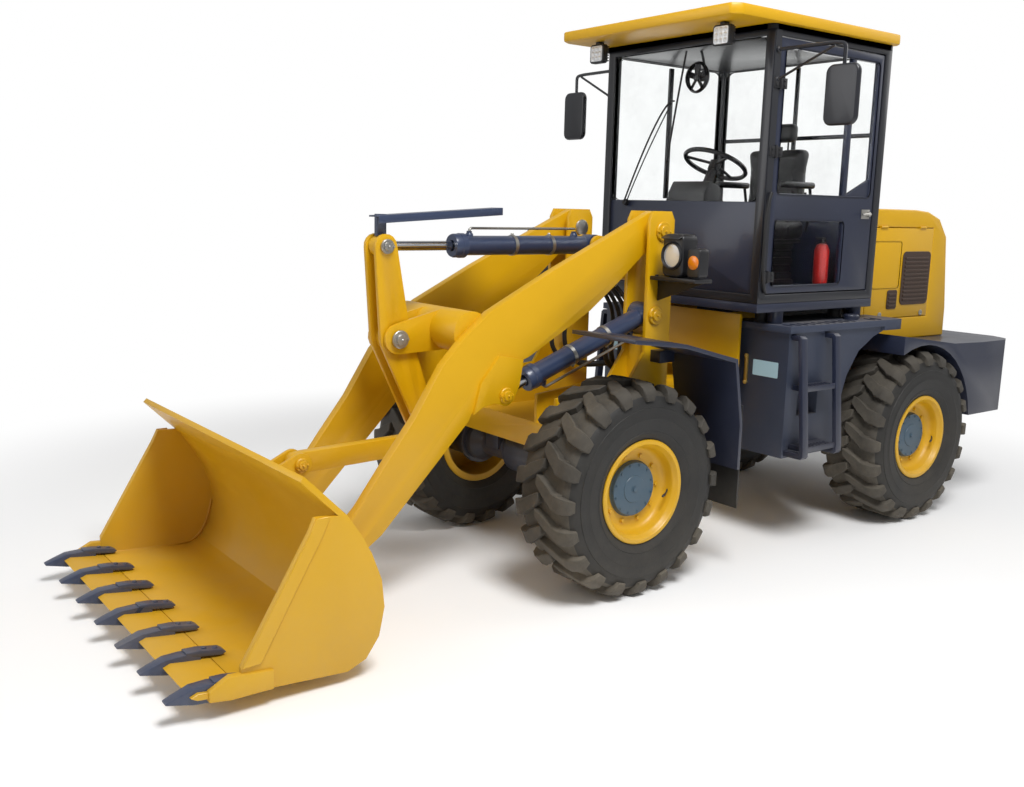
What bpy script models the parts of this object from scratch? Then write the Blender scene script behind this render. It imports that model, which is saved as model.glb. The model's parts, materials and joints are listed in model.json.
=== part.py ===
"""Compact articulated wheel loader with a Z-bar boom, a toothed bucket and a full cab.

Metres, +Z up, forward is -Y, the machine's left is +X. Lengths along Y are counted from the
front axle in the tables; OFFSET_Y then moves everything so that the machine is centred.
"""

import math

import bmesh
import bpy
from mathutils import Matrix, Vector

# ---------------------------------------------------------------- main sizes
GAP = 0.0003            # between two pieces that touch
RUN = 0.006             # side clearance of a pivoting plate in its fork
WHEELBASE = 2.42
TRACK = 1.40
TYRE_R = 0.54
TYRE_HALF = 0.21        # half the tyre's width
RIM_R = 0.264           # over the rim's flange
RIM_SEAT_R = 0.236      # where the tyre's bead sits
TEETH_Y = -2.385        # tips of the bucket teeth
TAIL_Y = 3.52           # back of the counterweight
OFFSET_Y = -(TEETH_Y + TAIL_Y) / 2
HITCH_Y = WHEELBASE / 2
AXLE_Z = TYRE_R

# Pivots of the boom and its linkage, as (y, z)
BOOM_PIN = (0.50, 1.80)
BUCKET_PIN = (-1.38, 0.34)
BUCKET_LINK_PIN = (-1.44, 0.69)
CRANK_PIN = (-0.93, 1.26)
CRANK_TOP = (-0.985, 1.707)
CRANK_FOOT = (-0.70, 0.71)
TILT_BASE = (0.36, 1.71)
TILT_POST = (0.50, 1.58)  # cross tube between the towers that carries the tilt cylinder
LIFT_BASE = (0.47, 1.35)
LIFT_EYE = (-0.49, 0.99)
CROSS_TUBE = (-0.65, 1.30)
CROSS_TUBE_R = 0.105

ARM_X = 0.335           # middle plane of each boom arm
ARM_HALF = 0.0275
FORK_HALF = 0.068       # half the gap between a tower's two plates
FORK_T = 0.022          # thickness of tower and fork plates
BUCKET_HALF = 0.926
PIN_R = 0.035

CAB_HALF = 0.655
CAB_FRONT = 1.03
CAB_REAR = 2.10
CAB_FLOOR_Z = 1.41
CAB_TOP_Z = 2.90
ROOF_TOP_Z = 2.96
PILLAR = 0.06

COLOURS = {
    "yellow": (0.78, 0.45, 0.02),
    "navy": (0.05, 0.065, 0.12),
    "steel_blue": (0.07, 0.10, 0.19),
    "black": (0.02, 0.02, 0.022),
    "rubber": (0.03, 0.03, 0.032),
    "teal": (0.05, 0.13, 0.22),
    "glass": (0.45, 0.60, 0.58),
    "steel": (0.45, 0.46, 0.48),
    "grey": (0.20, 0.21, 0.22),
}
ROUGH = {"glass": 0.05, "rubber": 0.85, "black": 0.6, "steel": 0.3}


# ---------------------------------------------------------------- helpers
def clear_scene():
    for obj in list(bpy.data.objects):
        bpy.data.objects.remove(obj)


def new_object(name, mesh_maker):
    """An object whose mesh is filled by mesh_maker(bm), in the machine's axes."""
    mesh = bpy.data.meshes.new(name)
    bm = bmesh.new()
    mesh_maker(bm)
    bmesh.ops.recalc_face_normals(bm, faces=bm.faces)
    bm.to_mesh(mesh)
    bm.free()
    obj = bpy.data.objects.new(name, mesh)
    obj.location = (0.0, OFFSET_Y, 0.0)
    bpy.context.scene.collection.objects.link(obj)
    return obj


def extrude_outline(bm, points, low, high, place):
    bottom = [bm.verts.new(place(u, v, low)) for u, v in points]
    top = [bm.verts.new(place(u, v, high)) for u, v in points]
    count = len(points)
    bm.faces.new(bottom)
    bm.faces.new(list(reversed(top)))
    for i in range(count):
        j = (i + 1) % count
        bm.faces.new((bottom[i], top[i], top[j], bottom[j]))


def side_plate(points, x0, x1):
    """A plate drawn in side view as (y, z) points, from x0 to x1."""
    return new_object("piece", lambda bm: extrude_outline(
        bm, points, x0, x1, lambda y, z, x: (x, y, z)))


def plan_plate(points, z0, z1):
    """A plate drawn in plan as (x, y) points, from z0 to z1."""
    return new_object("piece", lambda bm: extrude_outline(
        bm, points, z0, z1, lambda x, y, z: (x, y, z)))


def front_plate(points, y0, y1):
    """A plate drawn in front view as (x, z) points, from y0 to y1."""
    return new_object("piece", lambda bm: extrude_outline(
        bm, points, y0, y1, lambda x, z, y: (x, y, z)))


def box(x0, x1, y0, y1, z0, z1, bevel=0.0):
    x0, x1 = min(x0, x1), max(x0, x1)

    def make(bm):
        extrude_outline(bm, [(x0, y0), (x1, y0), (x1, y1), (x0, y1)], z0, z1,
                        lambda x, y, z: (x, y, z))
        if bevel:
            bmesh.ops.bevel(bm, geom=bm.edges[:], offset=bevel, segments=2,
                            profile=0.5, affect="EDGES", material=-1)
    return new_object("piece", make)


def rod(start, end, radius, segments=16):
    """A solid round bar between two points."""
    start, end = Vector(start), Vector(end)
    span = end - start
    turn = span.to_track_quat("Z", "Y").to_matrix().to_4x4()

    def make(bm):
        bmesh.ops.create_cone(bm, cap_ends=True, segments=segments, radius1=radius,
                              radius2=radius, depth=span.length,
                              matrix=Matrix.Translation((start + end) / 2) @ turn)
    return new_object("piece", make)


def cross_pin(y, z, x0, x1, radius, segments=20):
    return rod((min(x0, x1), y, z), (max(x0, x1), y, z), radius, segments)


def turned(profile, centre, segments, axis="X", side=1):
    """A ring or disc turned about X (or Z): profile holds (radius, along) points."""
    def make(bm):
        rings = []
        for radius, along in profile:
            ring = []
            if radius < 1e-9:
                ring = [bm.verts.new((along * side, 0, 0))]
            else:
                for i in range(segments):
                    a = 2 * math.pi * i / segments
                    ring.append(bm.verts.new((along * side, radius * math.cos(a),
                                              radius * math.sin(a))))
            rings.append(ring)
        closed = profile[0][0] > 1e-9 or profile[-1][0] > 1e-9
        pairs = list(zip(rings, rings[1:]))
        if closed:
            pairs.append((rings[-1], rings[0]))
        for one, two in pairs:
            for i in range(segments):
                j = (i + 1) % segments
                if len(one) == 1 and len(two) == 1:
                    break
                if len(one) == 1:
                    bm.faces.new((one[0], two[i], two[j]))
                elif len(two) == 1:
                    bm.faces.new((one[i], two[0], one[j]))
                else:
                    bm.faces.new((one[i], two[i], two[j], one[j]))
        if axis == "Z":
            bmesh.ops.rotate(bm, verts=bm.verts, cent=(0, 0, 0),
                             matrix=Matrix.Rotation(-math.pi / 2, 3, "Y"))
        bmesh.ops.translate(bm, verts=bm.verts, vec=centre)
    return new_object("piece", make)


def boolean(base, tool, operation):
    modifier = base.modifiers.new("weld" if operation == "UNION" else "cut", "BOOLEAN")
    modifier.operation = operation
    modifier.solver = "EXACT"
    modifier.object = tool
    tool.hide_render = True
    tool.display_type = "WIRE"
    tool.name = "tool"


def material(name, colour):
    made = bpy.data.materials.new(name)
    made.use_nodes = True
    shader = made.node_tree.nodes["Principled BSDF"]
    shader.inputs["Base Color"].default_value = (*COLOURS[colour], 1.0)
    shader.inputs["Roughness"].default_value = ROUGH.get(colour, 0.42)
    if colour == "steel":
        shader.inputs["Metallic"].default_value = 0.9
    if colour == "glass":
        shader.inputs["Alpha"].default_value = 0.35
    made.diffuse_color = (*COLOURS[colour], 0.35 if colour == "glass" else 1.0)
    return made


def node(name, colour, solids, cuts=(), pivot=None):
    """One named sub-part: the first solid with the others welded on, then the cuts taken out.

    pivot is (x, y, z) on the joint's axis, in the machine's axes.
    """
    base = solids[0]
    for other in solids[1:]:
        boolean(base, other, "UNION")
    for cutter in cuts:
        boolean(base, cutter, "DIFFERENCE")
    base.name = name
    base.data.name = name
    base.data.materials.append(material(name, colour))
    if pivot is not None:
        base.data.transform(Matrix.Translation(-Vector(pivot)))
        base.location = Vector(pivot) + Vector((0.0, OFFSET_Y, 0.0))
    return base


def arc(centre, radius, start, end, steps):
    """Points on an arc, angles in degrees from the first axis."""
    out = []
    for i in range(steps + 1):
        a = math.radians(start + (end - start) * i / steps)
        out.append((centre[0] + radius * math.cos(a), centre[1] + radius * math.sin(a)))
    return out


def link_plate(a, b, ra, rb, x0, x1, steps=8):
    """A straight link with round ends of radius ra at a and rb at b, in side view."""
    heading = math.degrees(math.atan2(b[1] - a[1], b[0] - a[0]))
    outline = arc(a, ra, heading + 90, heading + 270, steps)
    outline += arc(b, rb, heading - 90, heading + 90, steps)
    return side_plate(outline, min(x0, x1), max(x0, x1))


def both(x0, x1, side):
    return (min(x0 * side, x1 * side), max(x0 * side, x1 * side))


def angle_of(a, b):
    return math.atan2(b[1] - a[1], b[0] - a[0])


def at_x(x, point):
    return (x, point[0], point[1])


clear_scene()

# ---------------------------------------------------------------- wheels
TYRE = [(RIM_SEAT_R + GAP, -0.1675), (0.27, -0.1675), (0.30, -0.195), (0.40, -TYRE_HALF),
        (0.49, -0.204), (0.522, -0.19), (TYRE_R, -0.155), (TYRE_R, 0.155), (0.522, 0.19),
        (0.49, 0.204), (0.40, TYRE_HALF), (0.30, 0.195), (0.27, 0.1675),
        (RIM_SEAT_R + GAP, 0.1675)]
RIM_BORE_R = 0.222
HUB_FACE = 0.055        # inner face of the rim's disc, outward of the wheel's middle
RIM = [(0.0, HUB_FACE), (RIM_BORE_R, HUB_FACE), (RIM_BORE_R, -0.18), (RIM_R, -0.18),
       (RIM_R, -0.168), (RIM_SEAT_R, -0.168), (RIM_SEAT_R, 0.168), (RIM_R, 0.168),
       (RIM_R, 0.18), (RIM_BORE_R, 0.18), (RIM_BORE_R, 0.085), (0.143, 0.085),
       (0.135, 0.11), (0.0, 0.11)]
WHEELS = [("front_left", 0.0, 1), ("front_right", 0.0, -1),
          ("rear_left", WHEELBASE, 1), ("rear_right", WHEELBASE, -1)]
for label, wheel_y, side in WHEELS:
    middle = (side * TRACK / 2, wheel_y, AXLE_Z)
    node(f"tyre_{label}", "rubber", [turned(TYRE, middle, 48, side=side)], pivot=middle)
    node(f"rim_{label}", "yellow", [turned(RIM, middle, 48, side=side)], pivot=middle)

# ---------------------------------------------------------------- axles
AXLE_END = TRACK / 2 + HUB_FACE - 0.006
PAD_Z = 0.66            # top of the axle's seats, where the frame stands
AXLE = [(0.0, -AXLE_END), (0.12, -AXLE_END), (0.12, -0.46), (0.075, -0.40), (0.075, -0.20),
        (0.115, -0.14), (0.115, 0.14), (0.075, 0.20), (0.075, 0.40), (0.12, 0.46),
        (0.12, AXLE_END), (0.0, AXLE_END)]
for label, axle_y in (("front", 0.0), ("rear", WHEELBASE)):
    solids = [turned(AXLE, (0, axle_y, AXLE_Z), 24)]
    for side in (1, -1):
        x0, x1 = both(0.22, 0.34, side)
        solids.append(box(x0, x1, axle_y - 0.09, axle_y + 0.09, AXLE_Z, PAD_Z - GAP))
    node(f"{label}_axle", "navy", solids)

# ---------------------------------------------------------------- front frame
FRAME_TOP = 0.95
TOWER_IN = ARM_X - FORK_HALF - FORK_T
TOWER_OUT = ARM_X + FORK_HALF + FORK_T
EAR_IN = ARM_X - ARM_HALF - RUN - FORK_T
EAR_OUT = ARM_X + ARM_HALF + RUN + FORK_T
TOWER = [(0.585, 0.62), (0.585, 1.86), (0.56, 1.906), (0.43, 1.906), (0.405, 1.86),
         (0.405, 1.15), (0.30, 1.00), (-0.20, 0.95), (-0.20, PAD_Z), (0.10, PAD_Z),
         (0.16, 0.62)]
HITCH_R = 0.10
HITCH_PLATES = [(0.865, 0.895), (0.545, 0.575)]      # front tongue plates, in z
HITCH_FORK = [(0.901, 0.941), (0.499, 0.539)]        # rear fork plates outside them
front = [box(-TOWER_OUT, TOWER_OUT, -0.20, 0.585, PAD_Z, 0.80)]
for side in (1, -1):
    for x0, x1 in ((TOWER_IN, TOWER_IN + FORK_T), (TOWER_OUT - FORK_T, TOWER_OUT)):
        front.append(side_plate(TOWER, *both(x0, x1, side)))
    # the stub between the two plates below the arm's sweep, and the boom pin
    front.append(box(*both(TOWER_IN, TOWER_OUT, side), 0.43, 0.56, 0.80, 1.24))
    front.append(cross_pin(*BOOM_PIN, side * TOWER_IN, side * TOWER_OUT, PIN_R))
    front.append(cross_pin(*LIFT_BASE, side * TOWER_IN, side * TOWER_OUT, PIN_R))
front.append(cross_pin(*TILT_POST, -TOWER_IN - 0.01, TOWER_IN + 0.01, 0.06))
for side in (1, -1):
    front.append(link_plate(TILT_POST, TILT_BASE, 0.06, 0.055, *both(0.056, 0.078, side)))
front.append(cross_pin(*TILT_BASE, -0.078, 0.078, 0.028))
tongue = [(-0.26, 0.57), (0.26, 0.57)] + arc((0, HITCH_Y), HITCH_R, 0, 180, 10)
for z0, z1 in HITCH_PLATES:
    front.append(plan_plate(tongue, z0, z1))
front.append(box(-0.10, 0.10, 0.50, 0.98, 0.57, 0.87))
hitch_bore = rod((0, HITCH_Y, 0.52), (0, HITCH_Y, 0.92), PIN_R + RUN, 24)
node("front_chassis", "yellow", front, [hitch_bore], pivot=(0, HITCH_Y, 0.72))

# Front fenders: a bent sheet behind and over each front wheel, on a bracket from the tower
FENDER_OUT = [(-0.15, 1.31), (0.20, 1.268), (0.58, 1.17), (0.645, 0.82), (0.645, 0.58)]
FENDER_IN = [(0.625, 0.58), (0.625, 0.82), (0.562, 1.152), (0.196, 1.248), (-0.152, 1.29)]
FENDER_X = (0.47, 0.93)
for label, side in (("left", 1), ("right", -1)):
    bracket = box(*both(TOWER_OUT + GAP, 0.50, side), 0.45, 0.56, 1.10, 1.165)
    node(f"front_fender_{label}", "navy",
         [side_plate(FENDER_OUT + FENDER_IN, *both(*FENDER_X, side)), bracket],
         pivot=(0, HITCH_Y, 0.72))

# Front lights, each on a bracket at the outside of its tower
for label, side in (("left", 1), ("right", -1)):
    shelf = box(*both(TOWER_OUT + GAP, 0.76, side), 0.42, 0.54, 1.545, 1.575)
    lamp = box(*both(0.50, 0.645, side), 0.42, 0.54, 1.57, 1.79, 0.012)
    blinker = box(*both(0.68, 0.76, side), 0.42, 0.50, 1.57, 1.72, 0.01)
    node(f"headlight_{label}", "black", [shelf, lamp, blinker], pivot=(0, HITCH_Y, 0.72))

# ---------------------------------------------------------------- boom
ARM_OUTLINE = (arc(BOOM_PIN, 0.105, -55, 120, 10)
               + [(0.26, 1.804), (0.157, 1.758), (-0.21, 1.59), (-0.583, 1.403),
                  (-0.73, 1.285), (-0.85, 1.159), (-1.002, 0.919), (-1.15, 0.73),
                  (-1.30, 0.53)]
               + arc(BUCKET_PIN, 0.078, 150, 320, 8)
               + [(-1.18, 0.385), (-0.949, 0.623), (-0.70, 0.875), (-0.63, 1.02),
                  (-0.56, 1.115), (-0.45, 1.135), (-0.342, 1.167), (-0.15, 1.27),
                  (0.059, 1.387), (0.25, 1.53), (0.421, 1.673)])
# Two lugs on each arm stand either side of the lift cylinder's rod eye
LUG = ([(-0.53, 1.19), (-0.64, 1.06), (-0.68, 0.91), (-0.62, 0.945), (-0.56, 0.955)]
       + arc(LIFT_EYE, 0.055, 235, 330, 5) + [(-0.405, 1.035), (-0.385, 1.16)])
LUG_X = (0.026, 0.046)  # from the arm's middle plane
for label, side in (("left", 1), ("right", -1)):
    x0, x1 = both(ARM_X - ARM_HALF, ARM_X + ARM_HALF, side)
    solids = [side_plate(ARM_OUTLINE, x0, x1)]
    boss = FORK_HALF - RUN
    solids.append(cross_pin(*BOOM_PIN, side * ARM_X - boss, side * ARM_X + boss, 0.075, 24))
    for face in (1, -1):
        solids.append(side_plate(LUG, *both(ARM_X + face * LUG_X[0],
                                            ARM_X + face * LUG_X[1], side)))
    cuts = [cross_pin(*BOOM_PIN, x0 - 0.08, x1 + 0.08, PIN_R + RUN),
            cross_pin(*BUCKET_PIN, x0 - 0.01, x1 + 0.01, PIN_R + RUN)]
    node(f"boom_arm_{label}", "yellow", solids, cuts, pivot=(0, *BOOM_PIN))
CRANK_PLATE = (0.036, 0.060)      # x of each bellcrank plate
YOKE = (CRANK_PLATE[1] + RUN, CRANK_PLATE[1] + RUN + FORK_T)
inner = ARM_X - ARM_HALF - GAP
tube = [cross_pin(*CROSS_TUBE, -inner, inner, CROSS_TUBE_R, 28)]
for side in (1, -1):
    tube.append(link_plate(CROSS_TUBE, CRANK_PIN, CROSS_TUBE_R, 0.075, *both(*YOKE, side)))
tube.append(cross_pin(*CRANK_PIN, -YOKE[1] - 0.01, YOKE[1] + 0.01, PIN_R - 0.005))
node("boom_cross_tube", "yellow", tube, pivot=(0, *BOOM_PIN))

# ---------------------------------------------------------------- bellcrank and link
crank = []
for side in (1, -1):
    x0, x1 = both(*CRANK_PLATE, side)
    crank.append(link_plate(CRANK_PIN, CRANK_TOP, 0.085, 0.06, x0, x1))
    crank.append(link_plate(CRANK_PIN, CRANK_FOOT, 0.085, 0.055, x0, x1))
crank.insert(0, cross_pin(*CRANK_PIN, -CRANK_PLATE[1], CRANK_PLATE[1], 0.06, 24))
for point in (CRANK_TOP, CRANK_FOOT):
    for side in (1, -1):
        crank.append(cross_pin(*point, side * CRANK_PLATE[0], side * (CRANK_PLATE[1] + 0.005),
                               0.035))
crank_bore = cross_pin(*CRANK_PIN, -0.1, 0.1, PIN_R - 0.005 + 0.004)
node("bellcrank", "yellow", crank, [crank_bore], pivot=at_x(0, CRANK_PIN))
LINK_HALF = CRANK_PLATE[0] - RUN
node("bucket_link", "yellow",
     [link_plate(CRANK_FOOT, BUCKET_LINK_PIN, 0.05, 0.05, -LINK_HALF, LINK_HALF)],
     pivot=at_x(0, CRANK_FOOT))

# ---------------------------------------------------------------- bucket
BACK = [(-2.105, 0.078), (-1.66, 0.05), (-1.575, 0.085), (-1.515, 0.17), (-1.49, 0.29),
        (-1.503, 0.41), (-1.549, 0.53), (-1.60, 0.62), (-1.66, 0.707), (-1.84, 0.885)]
SHEET = 0.025


def inset(path, thickness):
    """The path moved to its right-hand side by the sheet's thickness."""
    out = []
    for i, (y, z) in enumerate(path):
        before = path[max(i - 1, 0)]
        after = path[min(i + 1, len(path) - 1)]
        dy, dz = after[0] - before[0], after[1] - before[1]
        size = math.hypot(dy, dz)
        out.append((y - dz / size * thickness, z + dy / size * thickness))
    return out


inner_path = inset(BACK, SHEET)
shell = [side_plate(BACK + list(reversed(inner_path)), -BUCKET_HALF, BUCKET_HALF)]
CHEEK = BACK[:9] + [(-1.795, 0.715), (-1.82, 0.66), (-2.105, 0.18)]
for side in (1, -1):
    shell.append(side_plate(CHEEK, *both(BUCKET_HALF - SHEET, BUCKET_HALF, side)))
    for x0, x1 in ((EAR_IN, EAR_IN + FORK_T), (EAR_OUT - FORK_T, EAR_OUT)):
        ear = arc(BUCKET_PIN, 0.085, -80, 80, 8) + [(-1.53, 0.50), (-1.51, 0.42), (-1.51, 0.20),
                                                    (-1.53, 0.17)]
        shell.append(side_plate(ear, *both(x0, x1, side)))
    shell.append(cross_pin(*BUCKET_PIN, side * EAR_IN, side * EAR_OUT, PIN_R))
    hook = arc(BUCKET_LINK_PIN, 0.055, -60, 120, 8) + [(-1.625, 0.66), (-1.56, 0.53)]
    shell.append(side_plate(hook, *both(CRANK_PLATE[0], CRANK_PLATE[1], side)))
node("bucket_shell", "yellow", shell, pivot=(0, *BUCKET_PIN))

EDGE = [(-2.1055, 0.078), (-2.1055, 0.103), (-2.29, 0.128), (-2.305, 0.115), (-2.29, 0.098)]
edge = [side_plate(EDGE, -BUCKET_HALF, BUCKET_HALF)]
TOOTH_COUNT = 7
TOOTH_PITCH = (2 * BUCKET_HALF - 0.09) / (TOOTH_COUNT - 1)
for i in range(TOOTH_COUNT):
    x = -BUCKET_HALF + 0.045 + i * TOOTH_PITCH

    def tooth(bm, x=x):
        rows = [(-2.13, 0.065, 0.150, 0.034), (-2.27, 0.080, 0.160, 0.034),
                (TEETH_Y, 0.095, 0.110, 0.024)]
        rings = []
        for y, low, high, half in rows:
            rings.append([bm.verts.new((x + sx * half, y, z))
                          for sx, z in ((-1, low), (1, low), (1, high), (-1, high))])
        bm.faces.new(rings[0])
        bm.faces.new(list(reversed(rings[-1])))
        for one, two in zip(rings, rings[1:]):
            for k in range(4):
                m = (k + 1) % 4
                bm.faces.new((one[k], two[k], two[m], one[m]))
    edge.append(new_object("piece", tooth))
node("cutting_edge", "steel_blue", edge, pivot=(0, *BUCKET_PIN))


# ---------------------------------------------------------------- cylinders
def cylinder_pair(label, base, eye, x, barrel_r, rod_r, barrel_len, bore_from, rod_from,
                  eye_half, base_half, base_pin_r):
    """A barrel on its base pin and a rod with its eye, both in the plane x."""
    ux, uz = math.cos(angle_of(base, eye)), math.sin(angle_of(base, eye))

    def at(distance):
        return (x, base[0] + ux * distance, base[1] + uz * distance)
    length = math.hypot(eye[0] - base[0], eye[1] - base[1])
    barrel = [rod(at(0.06), at(barrel_len), barrel_r, 24),
              rod(at(barrel_len - 0.07), at(barrel_len), barrel_r + 0.008, 24),
              cross_pin(*base, x - base_half, x + base_half, base_pin_r + 0.03, 24),
              rod(at(0.02), at(0.10), base_pin_r + 0.01, 16)]
    bores = [cross_pin(*base, x - 0.1, x + 0.1, base_pin_r + 0.005, 20),
             rod(at(bore_from), at(barrel_len + 0.01), rod_r + 0.004, 20)]
    node(f"{label}_barrel", "steel_blue", barrel, bores, pivot=at_x(x, base))
    ram = [rod(at(rod_from), at(length - 0.02), rod_r, 16),
           cross_pin(*eye, x - eye_half, x + eye_half, rod_r + 0.024, 24)]
    return ram


EYE_HALF = CRANK_PLATE[0] - RUN
for label, side in (("left", 1), ("right", -1)):
    ram = cylinder_pair(f"lift_cylinder_{label}", LIFT_BASE, LIFT_EYE, side * ARM_X,
                        0.052, 0.026, 0.865, 0.16, 0.18, 0.020, FORK_HALF - RUN, PIN_R)
    node(f"lift_rod_{label}", "steel", ram, pivot=at_x(side * ARM_X, LIFT_EYE))
ram = cylinder_pair("tilt_cylinder", TILT_BASE, CRANK_TOP, 0.0, 0.050, 0.024, 0.93, 0.16, 0.57,
                    EYE_HALF, 0.044, 0.028)
node("tilt_rod", "steel", ram, pivot=at_x(0, CRANK_TOP))

stem_z = CRANK_TOP[1] + 0.048 + GAP
guard = [box(-0.015, 0.015, -1.01, -0.96, stem_z, 1.86),
         side_plate([(-1.02, 1.845), (-0.29, 1.895), (-0.29, 1.903), (-1.02, 1.853)],
                    -0.05, 0.05),
         side_plate([(-1.02, 1.815), (-0.29, 1.865), (-0.29, 1.90), (-1.02, 1.85)],
                    0.042, 0.05)]
node("rod_guard", "steel_blue", guard, pivot=at_x(0, CRANK_TOP))

# ---------------------------------------------------------------- rear frame
BEAM_X = (0.22, 0.34)
BEAM_END = 3.00
rear = [box(-BEAM_X[1], BEAM_X[1], 1.47, 1.56, 0.52, FRAME_TOP)]
for side in (1, -1):
    rear.append(side_plate([(1.50, 0.52), (1.50, FRAME_TOP), (BEAM_END, FRAME_TOP),
                            (BEAM_END, PAD_Z), (2.20, PAD_Z), (2.00, 0.56), (1.80, 0.52)],
                           *both(*BEAM_X, side)))
rear.append(box(-0.30, 0.30, 2.88, 2.98, 0.70, 0.94))
fork = [(0.24, 1.52), (-0.24, 1.52)] + arc((0, HITCH_Y), 0.09, 180, 360, 10)
for z0, z1 in HITCH_FORK:
    rear.append(plan_plate(fork, z0, z1))
rear.append(rod((0, HITCH_Y, 0.489), (0, HITCH_Y, 0.951), PIN_R, 24))
# A bulkhead over the hitch, held by a cheek plate along each tank
BULKHEAD_Y = (1.145, 1.165)
BULKHEAD_TOP = 1.33
rear.append(box(-0.44, 0.44, *BULKHEAD_Y, FRAME_TOP + 0.02, BULKHEAD_TOP))
for side in (1, -1):
    rear.append(box(*both(BEAM_X[1] - FORK_T, 0.44, side), *BULKHEAD_Y, 0.72, BULKHEAD_TOP))
    rear.append(box(*both(BEAM_X[1] - FORK_T, BEAM_X[1], side), BULKHEAD_Y[0], 1.60, 0.80,
                    BULKHEAD_TOP))
node("rear_chassis", "yellow", rear)
node("engine_block", "grey", [box(-0.26, 0.26, 2.16, 2.86, FRAME_TOP + GAP, 1.72)])

# Counterweight with a wing over each rear wheel
ARCH_R = 0.585
WING = ([(2.18, 1.19), (2.755, 1.115), (3.10, 1.105), (3.10, 0.62)]
        + [p for p in arc((WHEELBASE, AXLE_Z), ARCH_R, 8, 114, 12)])
BLOCK_FRONT = BEAM_END + GAP
BLOCK = [(-0.86, BLOCK_FRONT), (0.86, BLOCK_FRONT), (0.86, 3.38), (0.82, 3.46), (0.70, TAIL_Y),
         (-0.70, TAIL_Y), (-0.82, 3.46), (-0.86, 3.38)]
weight = [plan_plate(BLOCK, 0.62, 1.105)]
for side in (1, -1):
    weight.append(side_plate(WING, *both(0.52, 0.86, side)))
node("counterweight", "navy", weight)

# Engine hood: a shell with a door in each side
HOOD_HALF = 0.50
HOOD_T = 0.020
HOOD_FRONT = CAB_REAR + 0.03
HOOD = [(HOOD_FRONT, 1.1053), (3.21, 1.1053), (3.205, 1.30), (3.14, 1.78), (3.04, 1.90),
        (2.90, 1.945), (2.75, 1.955), (HOOD_FRONT, 1.955)]
HOOD_IN = [(HOOD_FRONT - 0.02, 1.08), (3.19, 1.08), (3.185, 1.30), (3.12, 1.77),
           (3.03, 1.88), (2.89, 1.925), (2.75, 1.935), (HOOD_FRONT - 0.02, 1.935)]
DOOR = (2.26, 2.98, 1.25, 1.84)         # y0, y1, z0, z1 of each service door
SLIT = 0.004
hood_cuts = [side_plate(HOOD_IN, -HOOD_HALF + HOOD_T, HOOD_HALF - HOOD_T)]
for side in (1, -1):
    hood_cuts.append(box(*both(HOOD_HALF - 0.06, HOOD_HALF + 0.02, side), *DOOR))
node("engine_hood", "yellow", [side_plate(HOOD, -HOOD_HALF, HOOD_HALF)], hood_cuts)
for label, side in (("left", 1), ("right", -1)):
    node(f"hood_door_{label}", "yellow",
         [box(*both(HOOD_HALF - 0.018, HOOD_HALF, side), DOOR[0] + SLIT, DOOR[1] - SLIT,
              DOOR[2] + SLIT, DOOR[3] - SLIT)],
         pivot=(side * HOOD_HALF, DOOR[0], DOOR[3] - SLIT))

# Side tanks under a deck plate, with a ladder on the outer face and a toe hole behind it
TANK_IN = BEAM_X[1] + GAP
TANK_OUT = 0.76
DECK_OUT = 0.78
TANK_Z = (0.53, 1.29)
TANK_FRONT = 1.20
DECK_T = 0.04
DECK_END = DOOR[0] - 0.010        # the deck stops short of the hood door's swing
DECK_INNER_END = CAB_REAR + 0.02
DECK_Z = (TANK_Z[1] - DECK_T, TANK_Z[1])
TANK = [(TANK_FRONT, TANK_Z[0]), (TANK_FRONT, DECK_Z[0] + 0.005),
        (DECK_INNER_END, DECK_Z[0] + 0.005), (DECK_INNER_END, 1.23), (2.00, 1.19), (1.86, 1.11),
        (1.76, 0.97), (1.705, 0.80), (1.70, TANK_Z[0])]
FACE = TANK_OUT + GAP
UPRIGHT = [(FACE, 1.24), (0.815, 1.24), (0.835, 1.225), (0.895, 0.60), (0.895, 0.56),
           (0.88, 0.545), (FACE, 0.545), (FACE, 0.575), (0.862, 0.575), (0.867, 0.60),
           (0.808, 1.212), (FACE, 1.212)]
UPRIGHT_Y = ((1.215, 1.265), (1.52, 1.57))
RUNGS = ((0.925, 0.955, 0.855), (0.58, 0.61, 0.88))     # z0, z1, outer x
for label, side in (("left", 1), ("right", -1)):
    toe_hole = box(*both(0.68, TANK_OUT + 0.02, side), 1.31, 1.49, 0.77, 0.90)
    solids = [side_plate(TANK, *both(TANK_IN, TANK_OUT, side)),
              box(*both(TANK_IN, DECK_OUT, side), TANK_FRONT - 0.02, DECK_INNER_END, *DECK_Z),
              box(*both(0.52, DECK_OUT, side), DECK_INNER_END - 0.04, DECK_END, 1.225,
                  DECK_Z[1])]
    node(f"side_tank_{label}", "navy", solids, [toe_hole])
    ladder = []
    for y0, y1 in UPRIGHT_Y:
        ladder.append(front_plate([(x * side, z) for x, z in UPRIGHT], y0, y1))
    for z0, z1, outer in RUNGS:
        ladder.append(box(*both(FACE, outer, side), UPRIGHT_Y[0][1] - 0.01,
                          UPRIGHT_Y[1][0] + 0.01, z0, z1))
    node(f"steps_{label}", "navy", ladder)

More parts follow.
